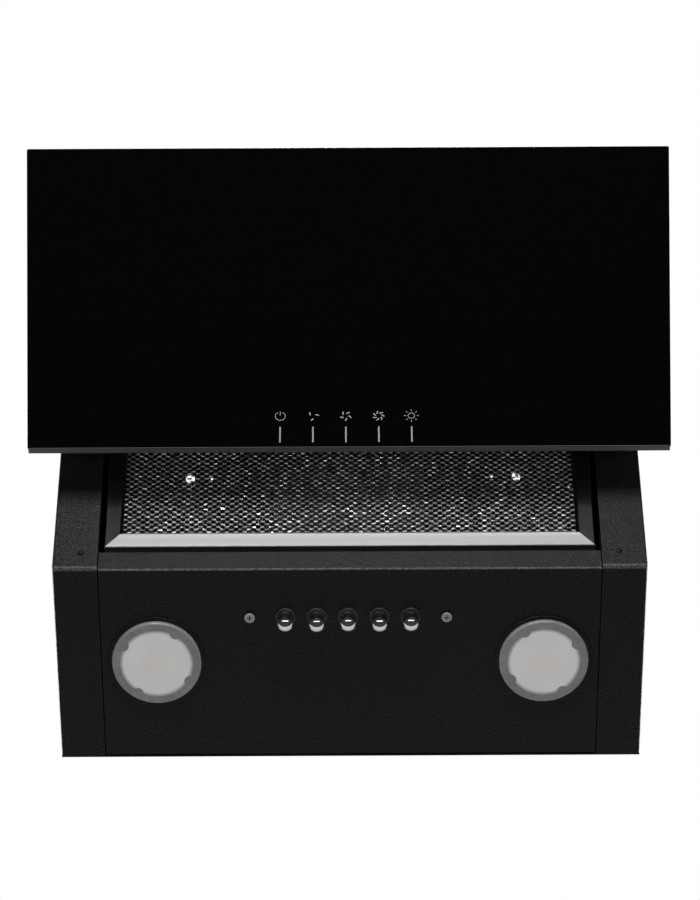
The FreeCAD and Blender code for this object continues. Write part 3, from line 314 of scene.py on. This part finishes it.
def dull_steel(name="screw_steel", color=(0.42, 0.41, 0.385), rough=0.5, metallic=0.35):
    """Zinc plated screw steel."""
    steel = Surface(name, color, metallic=metallic, roughness=rough)
    stain = steel.noise(600, 4)
    dark = tuple(c * 0.6 for c in color)
    steel.color(steel.levels(stain, 0.3, 0.75), dark, color)
    steel.gloss(steel.noise(900, 2), rough - 0.06, rough + 0.12)
    return steel.bump((stain, 0.2, 0.0002)).material


def screw_heads():
    """Dull steel screws with painted shade down in the cross recess."""
    screws = Surface("screw_heads", (0.42, 0.41, 0.385), metallic=0.35, roughness=0.5)
    # painted shade: the colour darkens to near black down in the cross recess
    depth = screws.levels(screws.axis("Z"), *(SCREW_FACE_Z + reach for reach in RECESS_SHADE_DEPTH))
    screws.color(depth, (0.46, 0.45, 0.425), (0.015, 0.015, 0.015))
    screws.gloss(screws.noise(900, 3), 0.42, 0.58)
    return screws.bump((screws.noise(1500, 2), 0.2, 0.00006)).material


def zinc_sheet():
    """Galvanised sheet with crystal spangle."""
    zinc = Surface("zinc_sheet", (0.3, 0.306, 0.312), metallic=1.0, roughness=0.38)
    spangle = zinc.cells(160)
    zinc.color(zinc.levels(spangle.outputs["Color"], 0.2, 0.9), (0.2, 0.205, 0.21), (0.36, 0.366, 0.372))
    zinc.gloss(zinc.noise(40, 3), 0.3, 0.5)
    return zinc.bump((spangle.outputs["Distance"], 0.08, 0.0004), (zinc.noise(900), 0.1, 0.0001)).material


def frosted_lens():
    """Milky diffuser with a painted glow, warmer in its middle and dimmer towards its rim, and smoky towards
    its rim.
    """
    lens = Surface("frosted_lens", (0.6, 0.6, 0.6), roughness=0.48, Subsurface_Weight=0.2)
    lens.shader.inputs["Subsurface Radius"].default_value = (0.004, 0.0035, 0.003)
    place = lens.nodes.new("ShaderNodeVectorMath")
    place.operation = "ABSOLUTE"
    lens.links.new(lens.coords, place.inputs[0])
    offset = lens.nodes.new("ShaderNodeVectorMath")
    offset.operation = "DISTANCE"
    offset.inputs[1].default_value = LENS_CENTRE
    lens.links.new(place.outputs["Vector"], offset.inputs[0])
    rim = lens.levels(offset.outputs["Value"], *LENS_RIM)
    painted_warm = lens.levels(offset.outputs["Value"], *LENS_GLOW_WARM)
    mottle = lens.noise(55, 3)
    lens.color(lens.levels(mottle, 0.3, 0.7), (0.66, 0.655, 0.65), (0.70, 0.70, 0.70))
    lens.tint(rim, (0.3, 0.31, 0.325))
    # painted glow: the lens emits, warm in the middle and fading towards the rim, standing in for light on
    # it
    painted_glow = lens.nodes.new("ShaderNodeMix")
    painted_glow.data_type = "RGBA"
    lens.links.new(painted_warm, painted_glow.inputs["Factor"])
    painted_glow.inputs["A"].default_value = (1.0, 0.91, 0.82, 1)
    painted_glow.inputs["B"].default_value = (0.93, 0.94, 0.96, 1)
    lens.links.new(painted_glow.outputs["Result"], lens.shader.inputs["Emission Color"])
    power = lens.levels(offset.outputs["Value"], *LENS_GLOW_FADE, 0.17, 0.045)
    lens.links.new(power, lens.shader.inputs["Emission Strength"])
    return lens.bump((lens.noise(2600, 2), 0.25, 0.0001)).material


def lamp_rim():
    """Smoky translucent rim."""
    rim = Surface("smoky_rim", (0.19, 0.2, 0.215), roughness=0.22, Coat_Weight=0.4)
    rim.shader.inputs["Coat Roughness"].default_value = 0.1
    haze = rim.noise(70, 3)
    rim.color(rim.levels(haze, 0.3, 0.7), (0.28, 0.29, 0.306), (0.35, 0.36, 0.374))
    rim.gloss(rim.noise(120, 2), 0.18, 0.34)
    return rim.bump((rim.noise(1100, 2), 0.12, 0.0001)).material


def moulded(name, color, rough=0.5):
    """Moulded plastic with a light spark texture."""
    plastic = Surface(name, color, roughness=rough)
    spark = plastic.noise(1300, 3)
    light = tuple(min(1, c * 1.35 + 0.004) for c in color)
    plastic.color(plastic.levels(plastic.noise(18, 3), 0.3, 0.7), color, light)
    plastic.gloss(spark, rough - 0.06, rough + 0.08)
    return plastic.bump((spark, 0.2, 0.0002)).material


def soft_rubber():
    """Matt rubber with bloom."""
    rubber = Surface("rubber", (0.02, 0.02, 0.02), roughness=0.75)
    bloom = rubber.noise(120, 4)
    rubber.color(rubber.levels(bloom, 0.3, 0.8), (0.014, 0.014, 0.014), (0.045, 0.044, 0.042))
    return rubber.bump((rubber.noise(1800, 2), 0.3, 0.0002)).material


def circuit_board():
    """Solder resist over faint copper tracks."""
    board = Surface("circuit_board", (0.02, 0.16, 0.06), roughness=0.35)
    tracks = board.cells(240, board.space((1, 0.35, 1)), "DISTANCE_TO_EDGE")
    edge = board.levels(tracks.outputs["Distance"], 0.03, 0.09)
    board.color(edge, (0.05, 0.26, 0.1), (0.012, 0.1, 0.035))
    return board.bump((edge, 0.2, 0.0001)).material


def wound_iron():
    """Stacked iron laminations with varnished windings."""
    iron = Surface("wound_iron", (0.2, 0.12, 0.08), metallic=0.8, roughness=0.45)
    stack = iron.noise(1.0, 2, iron.space((1500, 40, 40)))
    iron.color(iron.levels(stack, 0.35, 0.65), (0.08, 0.07, 0.065), (0.36, 0.19, 0.09))
    iron.gloss(stack, 0.35, 0.6)
    return iron.bump((stack, 0.4, 0.0003)).material


def sintered_bronze():
    """Porous bearing bronze."""
    bronze = Surface("sintered_bronze", (0.55, 0.38, 0.17), metallic=1.0, roughness=0.42)
    pores = bronze.noise(2200, 2)
    bronze.color(bronze.levels(pores, 0.35, 0.6), (0.32, 0.21, 0.1), (0.62, 0.45, 0.22))
    return bronze.bump((pores, 0.3, 0.0002)).material


def printed_ink(name, tint):
    """Grey screen print on the glass, with a painted glow."""
    ink = Surface(name, tint, roughness=0.45)
    # painted glow: emission lifts the print's grey
    ink.shader.inputs["Emission Color"].default_value = (*tint, 1)
    ink.shader.inputs["Emission Strength"].default_value = 0.75
    grain = ink.noise(1600, 2)
    ink.color(ink.levels(grain, 0.3, 0.7), tuple(0.8 * v for v in tint), tuple(1.2 * v for v in tint))
    return ink.bump((grain, 0.1, 0.00005)).material


def pale_floor():
    """Plain pale floor; what the hood mirrors of it is dark in front and bright far behind."""
    floor = Surface("studio_floor", (0.8, 0.8, 0.8), roughness=0.9)
    behind = floor.levels(floor.axis("Y"), FLOOR_BRIGHT_FROM, FLOOR_BRIGHT_FROM + FLOOR_BLEND)
    floor.color(behind, (0.012, 0.012, 0.012), (0.05, 0.05, 0.05))
    floor.shader.inputs["Emission Color"].default_value = (1, 1, 1, 1)
    floor.links.new(floor.levels(behind, 0, 1, 0.0, FLOOR_GLOW), floor.shader.inputs["Emission Strength"])
    even = floor.nodes.new("ShaderNodeEmission")
    even.inputs["Color"].default_value = (0.72, 0.72, 0.72, 1)
    ray = floor.nodes.new("ShaderNodeLightPath")
    mix = floor.nodes.new("ShaderNodeMixShader")
    floor.links.new(ray.outputs["Is Camera Ray"], mix.inputs["Fac"])
    floor.links.new(floor.shader.outputs["BSDF"], mix.inputs[1])
    floor.links.new(even.outputs["Emission"], mix.inputs[2])
    floor.links.new(mix.outputs["Shader"], floor.nodes["Material Output"].inputs["Surface"])
    return floor.material


# ---- materials on the CAD nodes ----
SLOPE_TURN = SLOPE - math.pi                     # turns the slope's direction onto Y
FINISHES = {
    "black_steel": powder_coat(),
    "black_glass": black_glass(),
    "glass_edge": glass_edge(),
    "filter_mesh": mesh_metal("expanded_aluminium", 0.66, painted_glint_streaks=True),
    "button_chrome": polished_chrome(),
    "screw_steel": dull_steel(),
    "zinc_steel": zinc_sheet(),
    "lamp_lens": frosted_lens(),
    "lamp_rim": lamp_rim(),
    "black_plastic": moulded("black_plastic", (0.02, 0.02, 0.021)),
    "grey_plastic": moulded("grey_plastic", (0.2, 0.205, 0.21)),
    "rubber": soft_rubber(),
    "circuit_board": circuit_board(),
    "copper_iron": wound_iron(),
    "bronze": sintered_bronze(),
    "magnet": dull_steel("plated_magnet", (0.55, 0.55, 0.56), 0.22, 1.0),
}
ACROSS = brushed("brushed_across", (0.245, 0.245, 0.248), "x")
# darker copy of the mesh aluminium for the sheets behind the front one: painted shade between the sheets
SHADED_INNER_MESH = mesh_metal("inner_expanded_aluminium_painted_shade", 0.16)
SCREW_HEADS = screw_heads()
# much darker copy of the brushed aluminium for the side rails: painted shade, as the frame is one metal
SHADED_UPWARD = brushed("brushed_upward_painted_shade", (0.055, 0.056, 0.058), "slope", turn=SLOPE_TURN)


def finish_nodes():
    """Give every CAD node its procedural material."""
    for row in frame["record"]["subparts"]:
        node = row["node"]
        material = FINISHES.get(row["material_slot"], ACROSS)
        if node == "panel_screws":
            material = SCREW_HEADS
        # the side rails take the darker brushed copy, as painted shade
        if node in ("filter_rail_left", "filter_rail_right"):
            material = SHADED_UPWARD
        data = frame["nodes"][node].data
        data.materials.clear()
        data.materials.append(material)


# ---- new pieces ----
def add_piece(name, points, faces, material, body):
    """Mesh object in the frame that rides on a body."""
    mesh = bpy.data.meshes.new(name)
    mesh.from_pydata([tuple(p) for p in points], [], faces)
    mesh.materials.append(material)
    mesh.update()
    piece = bpy.data.objects.new(name, mesh)
    bpy.context.scene.collection.objects.link(piece)
    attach(piece, body)
    return piece


CELL_LONG = 7.1 * MM
CELL_SHORT = 4.9 * MM
BOND = 2.8 * MM                                  # straight run where two strands touch
STRAND = 0.74 * MM
STRAND_DEPTH = 0.5 * MM
STRAND_TILT = 0.11 * MM                          # a strand's edges above and below its middle
TILT_SPREAD = 0.06 * MM
RISE_SPREAD = 0.05 * MM
REACH_SHARE = 0.52                               # half a sheet before cutting, as a share of its diagonal
RANDOM_START = 11
MESH_MARGIN = 0.2 * MM
MESH_TURNS = (0.0, 0.24, math.pi / 2 - 0.03)
MESH_DROPS = (0.6 * MM, 3.4 * MM, 6.0 * MM)      # each sheet's front behind the pad's front
SIDES = ((0, 1), (1, 2), (2, 3), (3, 0))


def strand_line(row, cells, reach):
    """Corner points (u, v) of one zigzag strand with a short flat at each bond."""
    number = np.arange(cells)
    zig = np.where((number + row) % 2, 1.0, -1.0)
    u = -reach + number * CELL_LONG / 2
    v = -reach + row * CELL_SHORT / 2 + zig * (CELL_SHORT / 4 - STRAND / 2)
    return np.column_stack((u - BOND / 2, u + BOND / 2)).ravel(), np.repeat(v, 2)


def mesh_layer(number, turn, front, low, high):
    """One expanded metal sheet with its front at a distance out from the front face."""
    rng = np.random.default_rng(RANDOM_START + number)
    (x0, s0, _), (x1, s1, _) = low, high
    reach = REACH_SHARE * math.hypot(x1 - x0, s1 - s0)
    cells = int(4 * reach / CELL_LONG)
    points = []
    faces = []
    for row in range(int(4 * reach / CELL_SHORT)):
        u, v = strand_line(row, cells, reach)
        tilt = rng.normal(STRAND_TILT, TILT_SPREAD, len(u))
        rise = rng.normal(0, RISE_SPREAD, len(u))
        corners = ((-STRAND / 2, -1, 0), (STRAND / 2, 1, 0), (STRAND / 2, 1, 1), (-STRAND / 2, -1, 1))
        rings = []
        for across, side, back in corners:
            w = v + across
            x = (x0 + x1) / 2 + u * math.cos(turn) - w * math.sin(turn)
            s = (s0 + s1) / 2 + u * math.sin(turn) + w * math.cos(turn)
            n = front + rise - side * tilt - back * STRAND_DEPTH
            rings.append((x, s, n))
        inside = np.all([(x > x0) & (x < x1) & (s > s0) & (s < s1) for x, s, _ in rings], axis=0)
        for i in np.flatnonzero(inside[:-1] & inside[1:]):
            first = len(points)
            points += [front_point(x[k], s[k], n[k]) for k in (i, i + 1) for x, s, n in rings]
            faces += [(first + k, first + 4 + k, first + 4 + j, first + j) for k, j in SIDES]
            faces += [(first + 3, first + 2, first + 1, first), tuple(range(first + 4, first + 8))]
    name = "mesh_layer_%d" % number
    # the sheets behind the front one take the darker copy, as painted shade
    material = FINISHES["filter_mesh"] if number == 1 else SHADED_INNER_MESH
    return add_piece(name, points, faces, material, "grease_filter")


def build_mesh():
    """Three expanded sheets at different turns, in place of the plain pad."""
    low, high = span("filter_mesh")
    low = (low[0] + MESH_MARGIN, low[1] + MESH_MARGIN, low[2])
    high = (high[0] - MESH_MARGIN, high[1] - MESH_MARGIN, high[2])
    for number, (turn, drop) in enumerate(zip(MESH_TURNS, MESH_DROPS), start=1):
        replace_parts(mesh_layer(number, turn, high[2] - drop, low, high), "filter_mesh")


# spot joints behind the front sheet, with painted glints: (across, along the slope, radius)
JOINTS = (
    (-129 * MM, 89 * MM, 3.6 * MM), (-111 * MM, 89 * MM, 1.3 * MM), (-169 * MM, 76 * MM, 1.1 * MM),
    (135 * MM, 90 * MM, 3.6 * MM), (115 * MM, 90 * MM, 1.1 * MM), (177 * MM, 79 * MM, 1.1 * MM),
)
JOINT_DROP = 1.3 * MM                            # top of a joint behind the mesh's front
JOINT_RISE = 0.22                                # height of a joint as a share of its radius
JOINT_SIDES = 20
JOINT_RINGS = 4


def dome_points(x, s, radius, front):
    """Points of one dome, ring by ring from its foot, and then its tip."""
    points = []
    for ring in range(JOINT_RINGS):
        share = 1 - ring / JOINT_RINGS
        height = front - JOINT_RISE * radius * share * share
        for side in range(JOINT_SIDES):
            angle = 2 * math.pi * side / JOINT_SIDES
            across = x + radius * share * math.cos(angle)
            points.append(front_point(across, s + radius * share * math.sin(angle), height))
    return points + [front_point(x, s, front)]


def dome_faces(first):
    """Faces of one dome whose points start at a number."""
    faces = []
    last = first + (JOINT_RINGS - 1) * JOINT_SIDES
    tip = last + JOINT_SIDES
    for side in range(JOINT_SIDES):
        after = (side + 1) % JOINT_SIDES
        for low in range(first, last, JOINT_SIDES):
            high = low + JOINT_SIDES
            faces.append((low + side, low + after, high + after, high + side))
        faces.append((last + side, last + after, tip))
    foot = tuple(first + side for side in reversed(range(JOINT_SIDES)))
    return faces + [foot]


def build_joints():
    """Small domes with painted glints that hold the expanded sheets together."""
    front = span("filter_mesh")[1][2] - JOINT_DROP
    points = []
    faces = []
    for x, s, radius in JOINTS:
        faces += dome_faces(len(points))
        points += dome_points(x, s, radius, front)
    piece = add_piece("mesh_joints", points, faces, painted_glint_joint(), "grease_filter")
    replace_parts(piece, "filter_mesh")


# ---- printed symbols ----
INK_THICKNESS = 0.06 * MM
SYMBOL_PITCH = 26.15 * MM
SYMBOL_MIDDLE = -2.6 * MM
SYMBOL_ALONG = 30.4 * MM                         # above the glass's lower edge
SYMBOL_RADIUS = 4.25 * MM
INK_WIDTH = 0.52 * MM
BAR_LOW = 4.9 * MM
BAR_HIGH = 20.0 * MM
BAR_WIDTH = 1.2 * MM
BLADE_WIDTH = 1.0 * MM
BLADE_START = {3: 0.61, 5: 0.06, 7: 0.35}        # angle of the first blade, by number of blades
POWER_RING = (118, 422)                          # degrees, open at the top
POWER_BAR_LOW = 0.9 * MM
POWER_BAR_PAST = 0.2 * MM                        # bar's end beyond the ring
POWER_BAR_WIDTH = 1.1                            # as a share of the ring's stroke
BLADE_INNER = 0.52                               # lengths as shares of the symbol's radius
BLADE_LENGTH = 0.56
BLADE_SWEEP = 0.5                                # angle a blade bends back through
BLADE_STEPS = 5
SUN_RING = 0.62
SUN_RAY = (1.02, 1.4)
SUN_RAYS = 8
INK_LIFT = 0.005 * MM                            # print's underside above the glass


def strip(path, width):
    """Outline quads of a band that follows a path of 2-D points."""
    left = []
    right = []
    for i, point in enumerate(path):
        before = path[max(i - 1, 0)]
        after = path[min(i + 1, len(path) - 1)]
        direction = (Vector(after) - Vector(before)).normalized()
        side = Vector((-direction.y, direction.x)) * width / 2
        left.append(Vector(point) + side)
        right.append(Vector(point) - side)
    return [(left[i], right[i], right[i + 1], left[i + 1]) for i in range(len(path) - 1)]


def arc(radius, start, end, count=36):
    """Points along a circular arc, angles in degrees."""
    angles = [math.radians(start + (end - start) * i / (count - 1)) for i in range(count)]
    return [(radius * math.cos(a), radius * math.sin(a)) for a in angles]


def power_symbol():
    """Open ring with a short bar in its gap."""
    ring = strip(arc(SYMBOL_RADIUS - INK_WIDTH / 2, *POWER_RING), INK_WIDTH)
    bar = [(0, POWER_BAR_LOW), (0, SYMBOL_RADIUS + POWER_BAR_PAST)]
    return ring + strip(bar, INK_WIDTH * POWER_BAR_WIDTH)


def fan_symbol(blades):
    """Ring of short curved blades round an empty middle."""
    quads = []
    for number in range(blades):
        base = 2 * math.pi * number / blades + BLADE_START[blades]
        path = []
        for i in range(BLADE_STEPS + 1):
            share = i / BLADE_STEPS
            radius = SYMBOL_RADIUS * (BLADE_INNER + BLADE_LENGTH * share)
            angle = base - BLADE_SWEEP * share
            path.append((radius * math.cos(angle), radius * math.sin(angle)))
        quads += strip(path, BLADE_WIDTH)
    return quads


def sun_symbol():
    """Ring with eight rays."""
    quads = strip(arc(SYMBOL_RADIUS * SUN_RING, 0, 360, 28), INK_WIDTH)
    for number in range(SUN_RAYS):
        angle = 2 * math.pi * number / SUN_RAYS
        ends = [SYMBOL_RADIUS * share for share in SUN_RAY]
        ray = [(end * math.cos(angle), end * math.sin(angle)) for end in ends]
        quads += strip(ray, INK_WIDTH)
    return quads


def print_symbol(name, quads, x, along_glass, ink):
    """Thin raised print of 2-D quads on the glass."""
    (_, start, _), (_, _, face) = span("glass_panel")
    points = []
    faces = []
    for quad in quads:
        first = len(points)
        for lift in (INK_THICKNESS, INK_LIFT):
            for corner in quad:
                points.append(front_point(x + corner[0], start + along_glass + corner[1], face + lift))
        faces.append((first, first + 1, first + 2, first + 3))
        faces += [(first + i, first + 4 + i, first + 4 + j, first + j) for i, j in SIDES]
    add_piece(name, points, faces, ink, "glass_door")


def build_symbols():
    """Five symbols in a row, each over an upright bar."""
    ink = printed_ink("printed_ink", (0.17, 0.17, 0.17))
    lit_ink = printed_ink("printed_ink_lit", (0.15, 0.185, 0.21))
    symbols = (
        ("power", power_symbol()),
        ("fan_low", fan_symbol(3)),
        ("fan_middle", fan_symbol(5)),
        ("fan_high", fan_symbol(7)),
        ("light", sun_symbol()),
    )
    for number, (name, quads) in enumerate(symbols):
        x = SYMBOL_MIDDLE + (number - 2) * SYMBOL_PITCH
        print_symbol("symbol_" + name, quads, x, SYMBOL_ALONG, ink)
        bar = strip([(0, BAR_LOW), (0, BAR_HIGH)], BAR_WIDTH)
        print_symbol("bar_" + name, bar, x, 0, lit_ink if name == "fan_high" else ink)


# ---- studio ----
ROOM_DIM = 0.03
ROOM_BRIGHT = 0.5
# the room turns from dim to bright along an axis, between two directions
ROOM_BLENDS = (("Y", 0.70, 0.82), ("Z", 0.5, 0.7))
FLOOR_SIZE = 9.0
FLOOR_HEIGHT = -2.25
SUN_POWER = 2.0
SUN_ANGLE = 12                                   # degrees across
SUN_DIRECTION = Vector((0, 0.37, -0.93))
# lights that aim at the fold: name, place from the fold, size, watts
FOLD_LIGHTS = (
    ("front", (0, -1.3, -0.31), (0.95, 0.42), 13.0),
    ("low", (0, -1.0, -1.6), (2.4, 0.3), 4.6),
)
SIDE_LIGHT_PLACE = (2.2, 0.7, 0.7)               # the right one; the left one mirrors it
SIDE_LIGHT_AIM = (0, -0.15, 0)
SIDE_LIGHT_SIZE = (1.6, 1.2)
SIDE_LIGHT_POWER = 90
CAMERA_ELEVATION = 68.4                          # degrees up from level
CAMERA_ROLL = 0.27                               # degrees
CAMERA_DISTANCE = 1.89
CAMERA_RISE = 0.0921                             # fold below the middle of the view
CAMERA_ACROSS = 0.0006
CAMERA_LENS = 96.0
CAMERA_SENSOR = 36.0
CAMERA_CLIP = 50


def add_floor():
    """Plain pale floor well below the hood."""
    corners = ((-1, -1), (1, -1), (1, 1), (-1, 1))
    points = [(x * FLOOR_SIZE, y * FLOOR_SIZE, FLOOR_HEIGHT) for x, y in corners]
    mesh = bpy.data.meshes.new("floor")
    mesh.from_pydata(points, [], [(0, 1, 2, 3)])
    mesh.materials.append(pale_floor())
    floor = bpy.data.objects.new("floor", mesh)
    bpy.context.scene.collection.objects.link(floor)


def add_light(name, place, aim, size, power):
    """Soft rectangular studio light aimed at a point."""
    data = bpy.data.lights.new(name, "AREA")
    data.shape = "RECTANGLE"
    data.size = size[0]
    data.size_y = size[1]
    data.energy = power
    light = bpy.data.objects.new(name, data)
    bpy.context.scene.collection.objects.link(light)
    light.location = place
    light.rotation_euler = (Vector(aim) - Vector(place)).to_track_quat("-Z", "Y").to_euler()


def add_sun():
    """Light from above and in front, which misses the slanted face."""
    data = bpy.data.lights.new("sun", "SUN")
    data.energy = SUN_POWER
    data.angle = math.radians(SUN_ANGLE)
    light = bpy.data.objects.new("sun", data)
    bpy.context.scene.collection.objects.link(light)
    light.rotation_euler = SUN_DIRECTION.to_track_quat("-Z", "Y").to_euler()


def build_world():
    """White to the camera; to the object, bright behind and overhead and dim in front."""
    world = bpy.data.worlds.new("studio")
    bpy.context.scene.world = world
    world.use_nodes = True
    nodes = world.node_tree.nodes
    links = world.node_tree.links
    seen = nodes["Background"]
    seen.inputs["Color"].default_value = (1, 1, 1, 1)
    room = nodes.new("ShaderNodeBackground")
    direction = nodes.new("ShaderNodeTexCoord").outputs["Generated"]
    axes = nodes.new("ShaderNodeSeparateXYZ")
    links.new(direction, axes.inputs["Vector"])
    brighter = nodes.new("ShaderNodeMath")
    brighter.operation = "MAXIMUM"
    for number, (axis, low, high) in enumerate(ROOM_BLENDS):
        part = nodes.new("ShaderNodeMapRange")
        part.inputs["From Min"].default_value = low
        part.inputs["From Max"].default_value = high
        part.inputs["To Min"].default_value = ROOM_DIM
        part.inputs["To Max"].default_value = ROOM_BRIGHT
        links.new(axes.outputs[axis], part.inputs["Value"])
        links.new(part.outputs["Result"], brighter.inputs[number])
    links.new(brighter.outputs["Value"], room.inputs["Strength"])
    ray = nodes.new("ShaderNodeLightPath")
    mix = nodes.new("ShaderNodeMixShader")
    links.new(ray.outputs["Is Camera Ray"], mix.inputs["Fac"])
    links.new(room.outputs["Background"], mix.inputs[1])
    links.new(seen.outputs["Background"], mix.inputs[2])
    links.new(mix.outputs["Shader"], nodes["World Output"].inputs["Surface"])


def add_camera():
    """Camera below and in front of the hood, looking up at its underside."""
    elevation = math.radians(CAMERA_ELEVATION)
    roll = math.radians(CAMERA_ROLL)
    forward = Vector((0, math.cos(elevation), math.sin(elevation)))
    up = Vector((0, -math.sin(elevation), math.cos(elevation)))
    right = Vector((1, 0, 0))
    place = FOLD - forward * CAMERA_DISTANCE + up * CAMERA_RISE + right * CAMERA_ACROSS
    rolled_right = right * math.cos(roll) - up * math.sin(roll)
    rolled_up = up * math.cos(roll) + right * math.sin(roll)
    data = bpy.data.cameras.new("camera")
    data.lens = CAMERA_LENS
    data.sensor_width = CAMERA_SENSOR
    data.clip_end = CAMERA_CLIP
    camera = bpy.data.objects.new("camera", data)
    bpy.context.scene.collection.objects.link(camera)
    axes = Matrix((rolled_right, rolled_up, -forward)).transposed().to_4x4()
    camera.matrix_world = Matrix.Translation(place) @ axes
    bpy.context.scene.camera = camera


def build_studio():
    """Floor, lights, world and camera."""
    add_floor()
    build_world()
    add_camera()
    for name, place, size, power in FOLD_LIGHTS:
        add_light(name, FOLD + Vector(place), FOLD, size, power)
    x, y, z = SIDE_LIGHT_PLACE
    for side in (-1, 1):
        add_light("side", (side * x, y, z), SIDE_LIGHT_AIM, SIDE_LIGHT_SIZE, SIDE_LIGHT_POWER)
    add_sun()
    bpy.context.scene.view_settings.view_transform = "Standard"


finish_nodes()
build_mesh()
build_joints()
build_symbols()
build_studio()
